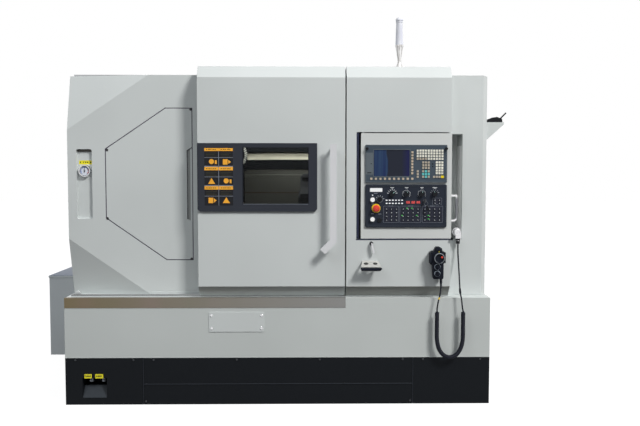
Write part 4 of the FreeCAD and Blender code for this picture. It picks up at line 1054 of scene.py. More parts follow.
# Seven bars of a digit: left, low, right, high before they are stretched.
SEGMENTS = [(0, 6, 4, 7), (0, 3, 4, 4), (0, 0, 4, 1), (-0.9, 0.6, 0, 3.2), (-0.9, 3.8, 0, 6.4),
            (4, 0.6, 4.9, 3.2), (4, 3.8, 4.9, 6.4)]
DISPLAYS = (774, 805, 835)
DIGIT_SHIFTS = (-8.5, 2.2)
plates("displays", [(middle - 12, 1210, middle + 12, 1227.5) for middle in DISPLAYS], -7.4, 1.8,
       moulded("display_glass", shade(110, 34, 40), 0.2, 0), PANEL, "dark_plastic", 1.5, 0.4)
plates("display_digits", [(middle + shift + left * 1.4, 1212.6 + low * 1.7,
                           middle + shift + right_side * 1.4, 1212.9 + high * 1.7)
                          for middle in DISPLAYS for shift in DIGIT_SHIFTS
                          for left, low, right_side, high in SEGMENTS],
       -9.1, 0.3, moulded("digit_red", shade(235, 80, 76), 0.3, 0.0, 0.5), PANEL,
       "dark_plastic", 0.3, 0.1)
print("digits:", len(DISPLAYS) * len(DIGIT_SHIFTS))

# %% [markdown]
# ## Button, collars and the ring of the emergency stop
# Push buttons sit in turned collars, and the emergency stop in a wide yellow ring that has to be
# seen from across the hall. A collar is a section swept round in a circle. It stays on the panel
# while the button in it moves, so its hole is a little wider than the button.


# %% Button and collars
def collar(stock, x, z, profile, steps=32):
    """Ring with an open middle, given by its section: pairs of radius and depth."""
    turns = [2 * math.pi * step / steps for step in range(steps)]
    stock.loop([[at(x + reach * math.cos(angle), back, z + reach * math.sin(angle))
                 for reach, back in profile] for angle in turns])


black = Stock()
turned(black, 605, 1113, [(14, BEZEL), (14, BEZEL - 3), (12.6, BEZEL - 4), (12.4, BEZEL - 7),
                          (11, BEZEL - 8), (5, BEZEL - 7.4)])
black.make("black_button", KNOB_BLACK, PANEL, "dark_plastic")
collars = Stock()
for z in (1234, 1118):
    collar(collars, 562, z, [(14.0, BEZEL), (17.0, BEZEL), (17.0, BEZEL - 1.6),
                             (15.8, BEZEL - 2.4), (14.0, BEZEL - 2.2)])
collar(collars, 605, 1236, [(15.8, BEZEL), (19.5, BEZEL), (19.5, BEZEL - 0.8),
                            (15.8, BEZEL - 0.8)])
collars.make("button_collars", moulded("collar_grey", shade(84, 88, 94)), PANEL, "dark_plastic")
stop_ring = Stock()
collar(stop_ring, 583, 1183, [(16, BEZEL), (26.5, BEZEL), (26.5, BEZEL - 3.4),
                              (25.2, BEZEL - 5.0), (16, BEZEL - 5.0)], 40)
stop_ring.make("stop_ring", STOP_YELLOW, PANEL, "stop_red")
print("button and collars fitted")

# %% [markdown]
# ## Scales and pointers of the knobs
# Round each rotary knob a printed scale runs over most of a turn, and a pale pointer is inlaid in
# the knob itself. Every mark is a short bar that points away from the middle of the knob, so one
# helper draws them all. The scales stay on the board, and a pointer rides on its knob's own body.


# %% Scale helper
def spoke(stock, middle, angle, inner, outer, wide, seat, proud, edge=0.0):
    """Thin plate that points away from the middle of a dial."""
    away = (math.cos(angle), math.sin(angle))
    cut_plate(stock, [(middle[0] + away[0] * reach - away[1] * shift,
                       middle[1] + away[1] * reach + away[0] * shift)
                      for reach, shift in ((inner, -wide / 2), (outer, -wide / 2),
                                           (outer, wide / 2), (inner, wide / 2))],
              seat, proud, edge)


def angle_on(first, last, part):
    """Angle that lies a part of the way from the first to the last, given in degrees."""
    return math.radians(first + (last - first) * part)


KNOB_MIDDLES = [(679, 1269), (764, 1269), (855, 1269), (931, 1269)]
print("knobs with scales:", len(KNOB_MIDDLES) + 1)

# %% Scales round the knobs
# Each dial: middle, first and last angle, number of marks, inner and outer radius, width.
DIALS = [(KNOB_MIDDLES[0], 10, 170, 7, 21, 29, 3.4), (KNOB_MIDDLES[1], -40, 220, 14, 21, 25, 1.3),
         (KNOB_MIDDLES[2], -30, 210, 13, 21, 25, 1.3), (KNOB_MIDDLES[3], 20, 160, 6, 20, 26, 1.4),
         ((605, 1236), 10, 150, 5, 21, 25, 2.4)]
ARCS = [(KNOB_MIDDLES[1], -40, 220), (KNOB_MIDDLES[2], -20, 200)]
ARC_PARTS = 26
PRINT_MM = 0.3
scales = Stock()
for middle, first, last, count, inner, outer, wide in DIALS:
    for number in range(count):
        spoke(scales, middle, angle_on(first, last, number / (count - 1)), inner,
              outer + 2 * (number % 3 == 0), wide, BEZEL, PRINT_MM)
for middle, first, last in ARCS:
    for number in range(ARC_PARTS):
        spoke(scales, middle, angle_on(first, last, (number + 0.5) / ARC_PARTS), 20.4, 21.3, 4.0,
              BEZEL, PRINT_MM)
for x, wide in ((679, 22), (765, 22), (855, 20), (932, 27)):
    pad(scales, box_round(x, 1306, wide, 4), BEZEL, PRINT_MM, 0.5, 0.1)
    pad(scales, box_round(x, 1300.5, wide * 0.4, 2), BEZEL, PRINT_MM, 0.5, 0.1)
scales.make("printed_scales", MARK_WHITE, PANEL, "white_plastic")
CAPTIONS = [(563, 1151, 18), (606, 1149, 18), (672, 1196.5, 26), (788, 1196.5, 30),
            (918, 1196.5, 30), (562, 1209, 14), (581, 1272, 22)]
plates("captions", [box_round(x, z, wide, 4) for x, z, wide in CAPTIONS], BEZEL - 0.2, 0.5,
       MARK_GREY, PANEL, "white_plastic", 0.5, 0.1)
print("dials:", len(DIALS), "plain bars:", len(CAPTIONS))

# %% Pointers on the knobs
KNOB_FRONT = BEZEL - 18
POINTER_TURNS = [45, 80, 80, 102]
POINTER_TEAL = moulded("pointer_teal", shade(176, 220, 214), 0.4, 0)
for number, (middle, turn_degrees) in enumerate(zip(KNOB_MIDDLES, POINTER_TURNS), 1):
    body = f"override_{number}"
    pointer = Stock()
    spoke(pointer, middle, math.radians(turn_degrees), 6, 14.6, 3.4, KNOB_FRONT + 0.6, 1.0, 0.3)
    pointer.make(body + "_pointer", POINTER_TEAL, body, "white_plastic")
print("pointers:", len(POINTER_TURNS))

# %% [markdown]
# ## Key and its ring
# The key switch has a key in it with a ring and a black fob. They ride on the key, so they go
# round with it. The ring is a bent wire: small round sections threaded on a tilted circle of
# points, with the first one once more at the end.

# %% Key ring
RING_STEPS = 28
ring_points = []
for step in range(RING_STEPS):
    angle = 2 * math.pi * step / RING_STEPS
    ring_points.append(at(876 + 11 * math.cos(angle), -36 + 3 * math.sin(angle),
                          1212 + 12 * math.sin(angle)))
sections = [hoop(point, (ring_points[(number + 1) % RING_STEPS]
                         - ring_points[number - 1]).normalized(), (0.3, 1, 0.2), 0.9, 10)
            for number, point in enumerate(ring_points)]
key_ring = Stock()
key_ring.skin(sections + sections[:1])
key_ring.make("key_ring", VALVE_METAL, "key", "key_metal")
fob = Stock()
cut_plate(fob, [(878, 1202), (884, 1204), (896, 1180), (893, 1172), (884, 1170), (879, 1176)],
          -33, 4.5, 1.2)
fob.make("key_fob", KNOB_BLACK, "key", "dark_plastic")
print("key ring hung")

# %% [markdown]
# ## Label sheet beside the window
# The dark surround of the window carries a sheet of labels. Only its layout is kept: orange bars,
# dark fields and grey lines, and plain circles, squares and triangles on them.
# They are thin plates on the surround, so they slide away with the door. The sheet has three rows
# of two labels, all alike but for the shape in them, so two nested loops lay it out.

# %% Layout of the label sheet
DOOR = "sliding_door"
SURROUND = -12
PRINTED = SURROUND - 0.3
SHEET_LEFT, SHEET_RIGHT, SHEET_LOW, SHEET_HIGH = -431, -263, 1200, 1541
ROW_STEP = 113.5
COLUMN_STEP = 86
bars = Stock()
lines = Stock()
rules = Stock()
shapes = Stock()
for row in range(3):
    high = SHEET_HIGH - ROW_STEP * row
    pad(bars, (SHEET_LEFT, high - 20, SHEET_RIGHT, high if row else high - 3), PRINTED, 0.5, 0.5,
        0.2)
    pad(lines, (SHEET_LEFT, high - 60, SHEET_RIGHT, high - 57.5), PRINTED, 0.5, 0.5, 0.2)
    if row:
        pad(lines, (SHEET_LEFT, high, SHEET_RIGHT, high + 6), PRINTED, 0.6, 0.5, 0.2)
pad(lines, (-348.5, SHEET_LOW, -345.5, SHEET_HIGH - 22), SURROUND - 0.4, 0.5, 0.5, 0.2)
print("label rows:", 3)


# %% Bars and shapes on each label
def plain_shape(kind, x, z):
    """Circle and bar, triangle, or square and triangle: one of three plain label pictures."""
    if kind == 0:
        turned(shapes, x, z + 2, [(15, PRINTED), (15, SURROUND - 0.9)], 28)
        pad(shapes, (x + 20, z - 12, x + 31, z + 10), PRINTED, 0.6, 1, 0.2)
    elif kind == 1:
        cut_plate(shapes, [(x - 21, z - 16), (x + 21, z - 16), (x, z + 19)], PRINTED, 0.6)
    else:
        pad(shapes, (x - 19, z - 16, x + 9, z + 16), PRINTED, 0.6, 2, 0.2)
        cut_plate(shapes, [(x + 13, z - 12), (x + 29, z), (x + 13, z + 12)], PRINTED, 0.6)


for row in range(3):
    high = SHEET_HIGH - ROW_STEP * row
    for column in range(2):
        left = SHEET_LEFT + 5 + COLUMN_STEP * column
        for number in range(5):
            dash = left + 6 + 12.5 * number
            pad(rules, (dash, high - 12.5, dash + 7 + 3 * (number % 2), high - 8.5),
                SURROUND - 0.7, 0.3, 0.4, 0.1)
        for number in range(3):
            pad(rules, (left + 4, high - 33 - 9 * number, left + 68 - 13 * (number % 2),
                        high - 31 - 9 * number), PRINTED, 0.4, 0.5, 0.1)
        plain_shape((row + 2 * column) % 3, left + 37, high - 84)
LABEL_DARK = moulded("label_dark", shade(28, 29, 33), 0.45, 0.0, 0.0, 0.15)
LABEL_ORANGE = moulded("label_orange", shade(250, 176, 50), 0.45, 0.0)
LABEL_OLIVE = moulded("label_olive", shade(66, 64, 44), 0.45, 0.0, 0.0, 0.15)
plates("label_ground", [(SHEET_LEFT, SHEET_LOW, SHEET_RIGHT, SHEET_HIGH)], SURROUND, 0.4,
       LABEL_DARK, DOOR, "frame_plastic", 1, 0.2)
for name, stock, material in (("label_bars", bars, LABEL_ORANGE), ("label_lines", lines, MARK_GREY),
                              ("label_rules", rules, LABEL_OLIVE),
                              ("label_shapes", shapes, LABEL_ORANGE)):
    stock.make(name, material, DOOR, "frame_plastic")
print("plain shapes on the labels: 6")

# %% [markdown]
# ## Seal of the window
# A rubber profile holds the pane in its dark surround, and along its lower edge a thin light line
# is a painted highlight. The profile is one raised frame, the highlight one thin plate.

# %% Window seal and painted highlight under the pane
seal = Stock()
rim(seal, (-207, 1206, 184, 1544), SURROUND, 3.2, 1.4, 3, 0.5)
seal.make("window_seal", RUBBER, DOOR, "frame_plastic")
plates("window_edge_highlight", [(-204, 1206.6, 181, 1209)], SURROUND - 1.3, 0.4, MARK_GREY, DOOR,
       "frame_plastic", 0.5, 0.2)
print("window sealed")

# %% [markdown]
# ## Access hatch
# The hatch on the left is let into the cover with an even gap all round. A dark strip set into
# that gap is painted shade: it draws the gap's thin dark outline. It is a small flat section
# carried round the six corners of the opening. Four dome-headed socket screws hold the hatch.


# %% Socket screws
def socket_screw(stock, x, z, radius, seat, proud):
    """Dome-headed screw with a hexagon socket."""
    rings = []
    steps = 24
    hexagon = radius * 0.45
    for reach, back, six_sided in ((radius, seat, 0), (radius, seat - proud * 0.35, 0),
                                   (radius * 0.82, seat - proud * 0.8, 0),
                                   (radius * 0.62, seat - proud, 0), (hexagon, seat - proud, 1),
                                   (hexagon * 0.9, seat - proud * 0.3, 1)):
        ring = []
        for step in range(steps):
            angle = 2 * math.pi * step / steps
            flat = math.cos(math.pi / 6) / math.cos(angle % (math.pi / 3) - math.pi / 6)
            here = reach * (flat if six_sided else 1)
            ring.append(at(x + here * math.cos(angle), back, z + here * math.sin(angle)))
        rings.append(ring)
    stock.skin(rings)


def screws(name, places, radius, seat, proud, material, slot):
    """One piece of several equal screws."""
    stock = Stock()
    for x, z in places:
        socket_screw(stock, x, z, radius, seat, proud)
    return stock.make(name, material, slot=slot)


HATCH_FACE = 110
screws("hatch_screws", [(-529, 1775), (-1036, 1530), (-1039, 1116), (-531, 868)], 8, HATCH_FACE,
       3.4, moulded("black_oxide", shade(22, 22, 26), 0.35, 0.0), "black_paint")
print("hatch screwed")


# %% Painted shade in the gap and in the finger recess of the hatch
def hatch_corners(grow):
    """Six corners of the hatch's opening, moved outwards."""
    return [(-684 - 0.32 * grow, 1785 + grow), (-519 + grow, 1785 + grow),
            (-519 + grow, 860 - grow), (-683 - 0.32 * grow, 860 - grow),
            (-1049 - grow, 1116 - 0.64 * grow), (-1049 - grow, 1538 + 0.64 * grow)]


# Section of the dark strip that paints the gap's shade: how far outside the edge of the opening,
# and how far back. It lies in the gap, so all of it is a little inside that edge.
GAP_SHADE_SECTION = [(-0.2, 113.5), (-0.2, 111.2), (-4.8, 111.2), (-4.8, 113.5)]
hatch_gap_shade = Stock()
outlines = [(back, hatch_corners(grow)) for grow, back in GAP_SHADE_SECTION]
hatch_gap_shade.loop([[at(corners[number][0], back, corners[number][1]) for back, corners in outlines]
                 for number in range(6)])
hatch_gap_shade.make("hatch_gap_shade", moulded("gap_shade_paint", shade(74, 68, 84), shine=0.15),
                slot="black_paint")
# The plate in the finger recess is a darker grey, as painted shade; two dark strips along its upper
# and left edges are painted shadow.
recess_shade = Stock()
cut_plate(recess_shade, [(-551, 1112), (-521, 1094), (-521, 1549), (-551, 1527)], 116.5, 0.8)
recess_shade.make("finger_recess_shade", paint("recess_shade_paint", shade(140, 143, 143)), slot="cover_paint")
RECESS_SHADOW_MM = 3.0
recess_edge_shadow = Stock()
for one, two in (((-555, 1529), (-519, 1552)), ((-555, 1111), (-555, 1529))):
    along_x, along_z = two[0] - one[0], two[1] - one[1]
    size = math.hypot(along_x, along_z)
    aside_x, aside_z = along_z / size * RECESS_SHADOW_MM, -along_x / size * RECESS_SHADOW_MM
    cut_plate(recess_edge_shadow, [one, two, (two[0] + aside_x, two[1] + aside_z),
                            (one[0] + aside_x, one[1] + aside_z)], 116, 5.4)
recess_edge_shadow.make("recess_edge_shadow", moulded("edge_shadow_paint", shade(54, 55, 60)), slot="black_paint")
print("hatch sealed")

# %% [markdown]
# ## Pressure gauge
# The gauge sits in a long pressed pocket. It has a bright turned ring and a white dial with a
# scale in two colours, and a yellow plate above it. A picture of a dial would blur close up, so
# the scale is drawn with thin plates, one spoke for each tick.

# %% Gauge ring and dial
GAUGE = (-1175, 1404)
DIAL_FACE = 116.8
gauge_ring = Stock()
collar(gauge_ring, *GAUGE, [(33.4, 129), (37, 129), (37, 112.5), (34.6, 108.6), (31, 109.2),
                            (29, 111.5), (29, 113), (33.4, 116)], 48)
gauge_ring.make("gauge_ring", CHROME, slot="gauge_case")
dial = Stock()
turned(dial, *GAUGE, [(28.4, 117.4), (28.4, 116.6)], 40)
dial.make("gauge_dial", moulded("dial_white", shade(226, 232, 244), 0.35, 0), slot="gauge_case")
TICKS = 25
RED_AFTER = 17
scale_colours = {"blue": shade(84, 120, 206), "red": shade(214, 84, 84),
                 "black": shade(40, 40, 44)}
ticks = {kind: Stock() for kind in scale_colours}
for number in range(TICKS):
    main = number % 4 == 0
    kind = "black" if main else ("red" if number > RED_AFTER else "blue")
    spoke(ticks[kind], GAUGE, angle_on(225, -45, number / (TICKS - 1)), 17 if main else 20, 26,
          1.6 if main else 2.8, DIAL_FACE, 0.5)
for kind, colour in scale_colours.items():
    ticks[kind].make("gauge_scale_" + kind, moulded("scale_" + kind, colour, 0.4, 0),
                     slot="gauge_case")
print("gauge ticks:", TICKS)

# %% Plate of the gauge's pocket and painted shadow under its top edge
LABEL_YELLOW = moulded("label_yellow", shade(236, 224, 40), 0.45, 0.0)
plates("gauge_plate", [(-1212, 1443, -1132, 1468)], 131, 1.2, LABEL_YELLOW, slot="gauge_case",
       corner=2, edge=0.4)
plates("gauge_plate_marks", [box_round(x, 1456, 6, 8) for x in (-1203, -1184, -1172, -1160,
                                                                -1142)],
       130, 0.5, LABEL_DARK, slot="gauge_case", corner=0.5, edge=0.1)
# A dark strip under the pocket's top edge is painted shadow, where that edge shades the pocket.
plates("pocket_top_shadow", [(-1221, 1520, -1130, 1533.5)], 131, 5,
       moulded("pocket_shadow_paint", shade(50, 46, 40)), slot="cover_paint", corner=6.5, edge=1.5)
print("gauge plate fitted")

# %% [markdown]
# ## Base: screws, tags and the drain niche
# The base front has a screwed cover plate and a dark plinth with screws along its seams. A niche
# at the left shows two drain valves with yellow tags, over a sloping sheet that leads drips
# outwards. The screws are real domes with a socket: they are only a pixel or two wide in the
# picture, but they are what a person looks for when they walk up to the machine.

# %% Screws and tags of the base
PLINTH_FACE = face_of("plinth_skirt")
screws("plate_screws", [(x, z) for x in (-397, -99) for z in (463, 541)], 7.5, -3, 4, CHROME,
       "ground_steel")
screws("plinth_screws", [(x, 273) for x in (-1213, -866, -746, -248, 250, 749, 871, 1217)]
       + [(x, 20) for x in (-795, 796)], 6, PLINTH_FACE, 2.5,
       moulded("screw_grey", shade(46, 48, 53), 0.35, 0, 0, 0.3), "plinth")
TAGS = [(-1160, 162, -1116, 188), (-1095, 162, -1048, 188)]
plates("drain_tags", TAGS, PLINTH_FACE, 1.2, LABEL_YELLOW, slot="valve_metal", corner=2, edge=0.4)
plates("drain_tag_marks", [(tag[0] + 7 + 8 * number, 171, tag[0] + 12 + 8 * number + number % 2,
                            180) for tag in TAGS for number in range(4)],
       PLINTH_FACE - 1.1, 0.5, LABEL_DARK, slot="valve_metal", corner=0.5, edge=0.1)
print("tags on the valves:", len(TAGS))


# %% Sheet in the niche, edge of the base, and seams of the plinth with painted highlights
def sheet(name, corners, shifts, material, slot):
    """Thin sheet between copies of its corners, each copy shifted back and up."""
    stock = Stock()
    stock.skin([[at(x, back + back_shift, up + up_shift) for x, back, up in corners]
                for back_shift, up_shift in shifts])
    return stock.make(name, material, slot=slot)


CHUTE = [(-1170.5, 1.2, 43.5), (-1030.5, 1.2, 43.5), (-1030.5, 43.2, 109), (-1170.5, 43.2, 109)]
sheet("niche_chute", CHUTE, ((0, 0), (-1.0, 0.6)),
      paint("niche_paint", shade(48, 53, 59), 0.5, 0.05, 0.15), "plinth")
plates("base_lip", [(-1274, 285, 1274, 290)], 0.2, 1.0, BASE_PAINT, slot="base_paint",
       corner=0.5, edge=0.4)
SEAMS = (-808, 811)
# The ridges and seams are painted lighter than the plinth, as the highlight their edges catch.
plates("plinth_ridge_highlights", [(SEAMS[0], 124, SEAMS[1], 128)]
       + [(seam - 1.5, 4, seam + 1.5, 282) for seam in SEAMS], PLINTH_FACE, 0.8,
       paint("ridge_highlight_paint", shade(44, 48, 55), 0.5, 0.03, 0.15), slot="plinth", corner=0.5,
       edge=0.3)
print("plinth face at", round(PLINTH_FACE, 2))

# %% [markdown]
# ## On the ledge of the base
# At the left end of the ledge a zinc-plated bracket ties the cover to the base. It sits just past
# the place that the door's edge reaches when the door is fully open. Along part of the cover's
# lower edge runs a folded sill that keeps coolant off the ledge.

# %% Ledge bracket and sill
bracket = Stock()
cut_plate(bracket, [(-1264, 646), (-1200, 646), (-1200, 655), (-1216, 679), (-1264, 650)], 108,
          13, 1.5)
bracket.make("ledge_bracket", plated("bracket_zinc", shade(206, 210, 210), 0.4),
             slot="ground_steel")
plates("cover_sill", [(-777, 645.5, -440, 666)], 110.5, 4.5, COVER_PAINT, slot="cover_paint",
       corner=1, edge=0.6)
print("ledge dressed")

# %% [markdown]
# ## Guards behind the window
# Behind the glass a bright brushed guard hangs over a dark one. The bright one is bent back and
# bowed up in a shallow arch, so it mirrors the slim lamp as one pale curved band; its pale colour
# adds a painted highlight to that reflection. The dark sheets are coloured nearly black as painted
# shade in the closed work space. Such a sheet is swept: a row of places across the machine, each
# carrying the same short bent section.

# %% Swept guards
GUARD_LEFT, GUARD_RIGHT = -338, 1010
GUARD_MM = 2.0
GUARD_COLUMNS = 40
BOW_RISE = 5
BOW_HALF_TURNS = 1.9


def guard(name, section, material, start=GUARD_LEFT):
    """Sheet with a bent section of back and up, swept across and bowed up in its left half."""
    stock = Stock()
    rings = []
    for column in range(GUARD_COLUMNS + 1):
        part = column / GUARD_COLUMNS
        rise = BOW_RISE * math.sin(math.pi * min(part * BOW_HALF_TURNS, 1))
        x = start + (GUARD_RIGHT - start) * part
        rings.append([at(x, back, up + rise) for back, up in section]
                     + [at(x, back + GUARD_MM, up + rise + GUARD_MM)
                        for back, up in reversed(section)])
    stock.skin(rings)
    return stock.make(name, material, slot="stainless_sheet")


# Painted light: the upper guard's pale colour adds highlight to the band, and the near black of the
# header, skirt and posts is painted shade.
GUARD_HIGHLIT = brushed("guard_painted_highlight", shade(200, 196, 180), 0.4, 0, 60, 0.12, 0.3)
GUARD_SHADED = brushed("guard_painted_shade", shade(24, 27, 32), 0.5, 0, 200, 0.1, 0.2, 0.1)
guard("upper_guard", [(560, 1477), (564, 1490), (572, 1506), (588, 1523)], GUARD_HIGHLIT, -230)
guard("guard_header", [(588, 1524), (560, 1530), (556, 1612)], GUARD_SHADED)
guard("guard_skirt", [(566, 1410), (554, 1414), (554, 1472), (560, 1476)], GUARD_SHADED)
print("guards hung between", GUARD_LEFT, "and", GUARD_RIGHT)

# %% [markdown]
# ## Posts, seams and hose in the work space
# Two short posts carry the guards at the left. The lining behind them has two pressed seams and a
# line of brown sealant. A jointed coolant hose hangs from the header: a row of equal short links,
# each set a little aside, so that the hose looks stiff and knuckled.

# %% Posts, seams and hose
posts = Stock()
pad(posts, (-262, 1405, -232, 1610), 552, 6, 1, 0.5)
pad(posts, (-260, 1196, -247, 1410), 552, 8, 1, 0.5)
posts.make("guard_posts", GUARD_SHADED, slot="stainless_sheet")
LINING = 1261
LINING_LEFT = -336
plates("liner_seams", [(LINING_LEFT, z - half, GUARD_RIGHT, z + half) for z, half in
                       ((1378, 4), (1362, 2))], LINING, 6,
       brushed("seam_steel", shade(150, 150, 142), 0.4, 0, 260, 0.08, 0.5),
       slot="stainless_sheet", corner=1, edge=1.5)
plates("liner_sealant", [(LINING_LEFT, 1238, GUARD_RIGHT, 1244)], LINING, 3,
       moulded("sealant_brown", shade(92, 68, 58), shine=0.2), slot="stainless_sheet", corner=1,
       edge=1.0)
LINKS = 17
HOSE_TOP, HOSE_DROP = 1562, 104
hose = Stock()
for number in range(LINKS):
    down = number / (LINKS - 1)
    x = -250 + 13 * math.sin(math.pi * min(down * 1.1, 1)) + (5 if number % 2 else -4)
    turned(hose, x, HOSE_TOP - HOSE_DROP * down, [(3.4, 552), (5.4, 549), (5.4, 545), (2.0, 542)],
           14)
hose.make("coolant_hose", brushed("hose_metal", shade(236, 236, 232), 0.3, 0, 200, 0.1, 0.3),
          slot="stainless_sheet")
print("links in the hose:", LINKS)

# %% [markdown]
# ## Pendant
# The pendant rests in its holder. Its two knobs each sit in a pale ring. The handwheel has a
# nickel rim, a scale of forty ticks and a red dot off its middle, and all of these ride on the
# wheel, so they turn with it. The rings and the yellow pointer above the wheel stay on the body.

# %% Wheel and rings of the pendant
PENDANT_FACE = -60
WHEEL = (952, 892)
WHEEL_FACE = face_of("handwheel")
pendant_rings = Stock()
for z in (840, 799):
    collar(pendant_rings, 943, z, [(15.4, PENDANT_FACE), (17.9, PENDANT_FACE),
                                   (17.9, PENDANT_FACE - 1.6), (17.0, PENDANT_FACE - 2.4),
                                   (15.4, PENDANT_FACE - 2.4)], 36)
pendant_rings.make("pendant_rings", moulded("ring_grey", shade(190, 204, 216), 0.4, 0, 0, 0.4),
                   slot="wheel_plastic")
wheel_rim = Stock()
collar(wheel_rim, *WHEEL, [(27.6, WHEEL_FACE - 0.2), (27.6, WHEEL_FACE - 0.8),
                           (28.6, WHEEL_FACE - 0.8), (30.6, WHEEL_FACE + 2.2),
                           (30.6, WHEEL_FACE + 7), (30.1, WHEEL_FACE + 7)], 48)
wheel_rim.make("wheel_rim", brushed("ring_nickel", shade(150, 156, 162), 0.25, 1, 300, 0.05, 0.2),
               "wheel", "wheel_plastic")
WHEEL_TICKS = 40
wheel_scale = Stock()
for number in range(WHEEL_TICKS):
    spoke(wheel_scale, WHEEL, 2 * math.pi * number / WHEEL_TICKS, 25.2, 27.2, 1.0,
          WHEEL_FACE - 0.2, 0.5)
wheel_scale.make("wheel_scale", MARK_GREY, "wheel", "wheel_plastic")
dot = Stock()
turned(dot, 966, 899, [(5.6, WHEEL_FACE + 4), (5.6, WHEEL_FACE - 1), (4.4, WHEEL_FACE - 2.6),
                       (2, WHEEL_FACE - 3)], 24)
dot.make("wheel_dot", STOP_RED, "wheel", "wheel_plastic")
print("ticks on the wheel:", WHEEL_TICKS)


# %% Top of the pendant and relief of its cord
def upright(stock, x, back, profile, steps=20):
    """Round piece that stands upright: pairs of radius and height."""
    turns = [2 * math.pi * step / steps for step in range(steps)]
    stock.skin([[at(x + radius * math.cos(angle), back + radius * math.sin(angle), height)
                 for angle in turns] for radius, height in profile])


pointer = Stock()
cut_plate(pointer, [(949, 926), (955, 926), (954, 931), (950, 931)], PENDANT_FACE, 2, 0.4)
pointer.make("wheel_pointer", moulded("pointer_olive", shade(196, 186, 60)),
             slot="wheel_plastic")
arch = Stock()
cut_plate(arch, [(930, 934), (974, 934), (966, 950), (957, 955), (939, 955), (932, 948)],
          PENDANT_FACE, 3.0, 1.5)
pad(arch, (936, 939, 962, 944), PENDANT_FACE - 3.0, 2.4, 2, 0.6)
arch.make("pendant_top", PENDANT_BLACK, slot="pendant_plastic")
# Seven ribs, each thinner than the one above it.
RIBS = []
for number in range(7):
    high = 748 - 6 * number
    wide, narrow = 7.6 - 0.45 * number, 6.2 - 0.4 * number
    RIBS += [(wide, high), (wide, high - 3.4), (narrow, high - 3.6), (narrow, high - 5.8)]
relief = Stock()
upright(relief, 968, -42, RIBS)
relief.make("pendant_relief", RUBBER, slot="cord_jacket")
print("pendant dressed")

# %% [markdown]
# ## Hook, plug and latch
# Under the panel hangs a hook with a black head and a small white lever. The pendant's plug is a
# thick turned connector with three bright rings, and its cord leaves through a nut and a gland. A
# fluted black latch holds the swivelling panel, so it rides on the panel.

# %% Hook and latch
hook_knob = Stock()
turned(hook_knob, 557, 974, [(11, 0), (11, -3), (8.8, -4), (8.8, -15), (7.4, -17), (3, -17.4)],
       32)
hook_knob.make("hook_knob", KNOB_BLACK, slot="dark_plastic")
lever = Stock()
cut_plate(lever, [(553.5, 977), (561.5, 978.5), (576, 918), (571, 914), (566, 916)], -19.6, 8.0,
          1.2)
lever.make("hook_lever", moulded("lever_white", shade(226, 226, 230), 0.3, 0),
           slot="white_plastic")
panel_latch = Stock()
turned(panel_latch, 1037, 1001, [(6, 0), (6, -6), (9, -8), (9.6, -12), (8.4, -16), (4, -17)],
       32, 8, 0.8)
panel_latch.make("panel_latch", KNOB_BLACK, PANEL, "knob_plastic")
print("hook and latch fitted")

# %% Rings and gland of the plug
PLUG = (1086, 1034)
plug = Stock()
collar(plug, *PLUG, [(22.1, 96), (25.5, 96), (25.5, 104), (22.1, 104)], 48)
collar(plug, *PLUG, [(18.1, 64), (20.5, 65), (20.5, 76), (18.1, 78)], 48)
collar(plug, *PLUG, [(11, 62), (15, 62), (15, 60.4), (11, 60.8)], 48)
plug.make("connector_rings", brushed("plug_silver", shade(226, 227, 230), 0.3, 1, 300, 0.06, 0.5),
          slot="ground_steel")
gland = Stock()
upright(gland, 1091, 74, [(12.6, 983), (14, 985), (14, 995), (12, 997)], 6)
upright(gland, 1091, 74, [(9.6, 963), (11.4, 966), (11.4, 981), (9.6, 983)], 24)
gland.make("connector_gland", KNOB_BLACK, slot="dark_plastic")
print("plug fitted")

# %% [markdown]
# ## Thin sheets on the cabinet, in the recess and on the tank
# The cabinet's lower facet carries a darker sheet, which is painted shade, and the wall of the
# panel's recess a near-white one, which is painted light. The coolant tank has a separate lid with
# a chamfered edge, coloured a darker blue-grey as painted sky reflection and painted shade. Each is
# a thin sheet over the measured surface.

# %% Painted shade sheet, painted light sheet and tank lid
# Painted shade: a darker sheet on the cabinet's lower facet.
SHADE_SHEET = [(410, -0.8, 714.5), (1028, -0.8, 714.5), (1028, 59, 652.6), (410, 59, 652.6)]
sheet("cabinet_shade_sheet", SHADE_SHEET, ((0.6, 0.6), (-0.3, -0.3)),
      paint("shade_sheet_paint", shade(156, 157, 154), 0.45, 0.05, 0.3), "cover_paint")
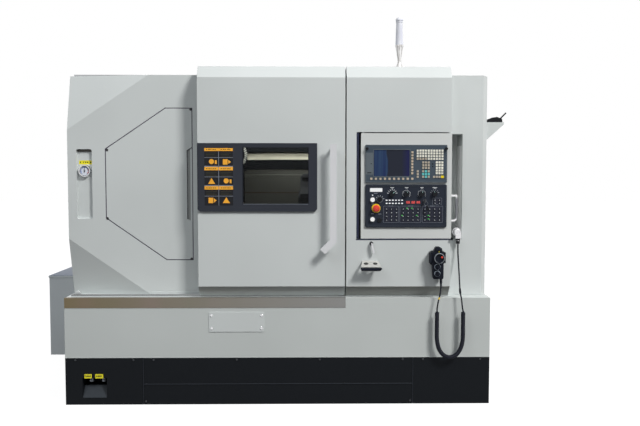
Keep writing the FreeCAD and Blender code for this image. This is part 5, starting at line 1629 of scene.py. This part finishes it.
# Painted light: a near-white sheet on the recess wall, where light falls in.
WALL = [(121, 999), (256, 999), (256, 1560), (121, 1560)]
recess_light_sheet = Stock()
recess_light_sheet.skin([[at(x, back, up) for back, up in WALL] for x in (1117.8, 1116.6)])
recess_light_sheet.make("recess_light_sheet", paint("recess_light_paint", shade(250, 251, 252), 0.5, 0.04,
                                        0.3), slot="cover_paint")
# The lid's darker blue-grey is painted sky reflection and painted shade.
LID = [(-1796, 1175), (-1279, 1175), (-1279, 1750), (-1796, 1750)]
LID_MIDDLE = (-1500, 1500)
LID_CHAMFER = 3
lid = Stock()
lid.skin([[at(x, back, up) for x, back in LID] for up in (608.6, 611.4)]
         + [[at(x + (LID_CHAMFER if x < LID_MIDDLE[0] else -LID_CHAMFER),
                back + (LID_CHAMFER if back < LID_MIDDLE[1] else -LID_CHAMFER), 612)
             for x, back in LID]])
lid.make("tank_lid", paint("lid_reflection_shade_paint", shade(122, 132, 150), 0.5), slot="cover_paint")
print("sheets and lid laid on")

# %% [markdown]
# ## Painted shade in the panel's gaps, and the edge of the tool rack
# Dark navy strips in the gap under the swivelling panel and down its left side are painted shade.
# The tool rack has a black moulded edge with a round stop at each end, so that tools don't slide
# off.

# %% Painted gap shade and rack edge
gap_shades = Stock()
pad(gap_shades, (465, 993, 1036, 999.4), 0, 0.9, 1, 0.3)
pad(gap_shades, (467.5, 1003, 482, 1630), 6, 3, 1, 0.5)
gap_shades.make("recess_gap_shades", moulded("gap_shade_navy", shade(46, 50, 70), 0.5, 0.04, 0.0, 0.1),
             slot="dark_plastic")
RACK_FACE = face_of("tool_rack")
rack_edge = Stock()
pad(rack_edge, (492, 818, 610, 834), RACK_FACE + 4, 6, 4, 1.2)
for x in (494, 609):
    turned(rack_edge, x, 829, [(5.4, RACK_FACE + 1), (6.4, RACK_FACE - 3),
                               (5.2, RACK_FACE - 6.4), (2, RACK_FACE - 7)], 20)
rack_edge.make("rack_edge", PENDANT_BLACK, slot="dark_plastic")
print("small fittings on the cabinet done")
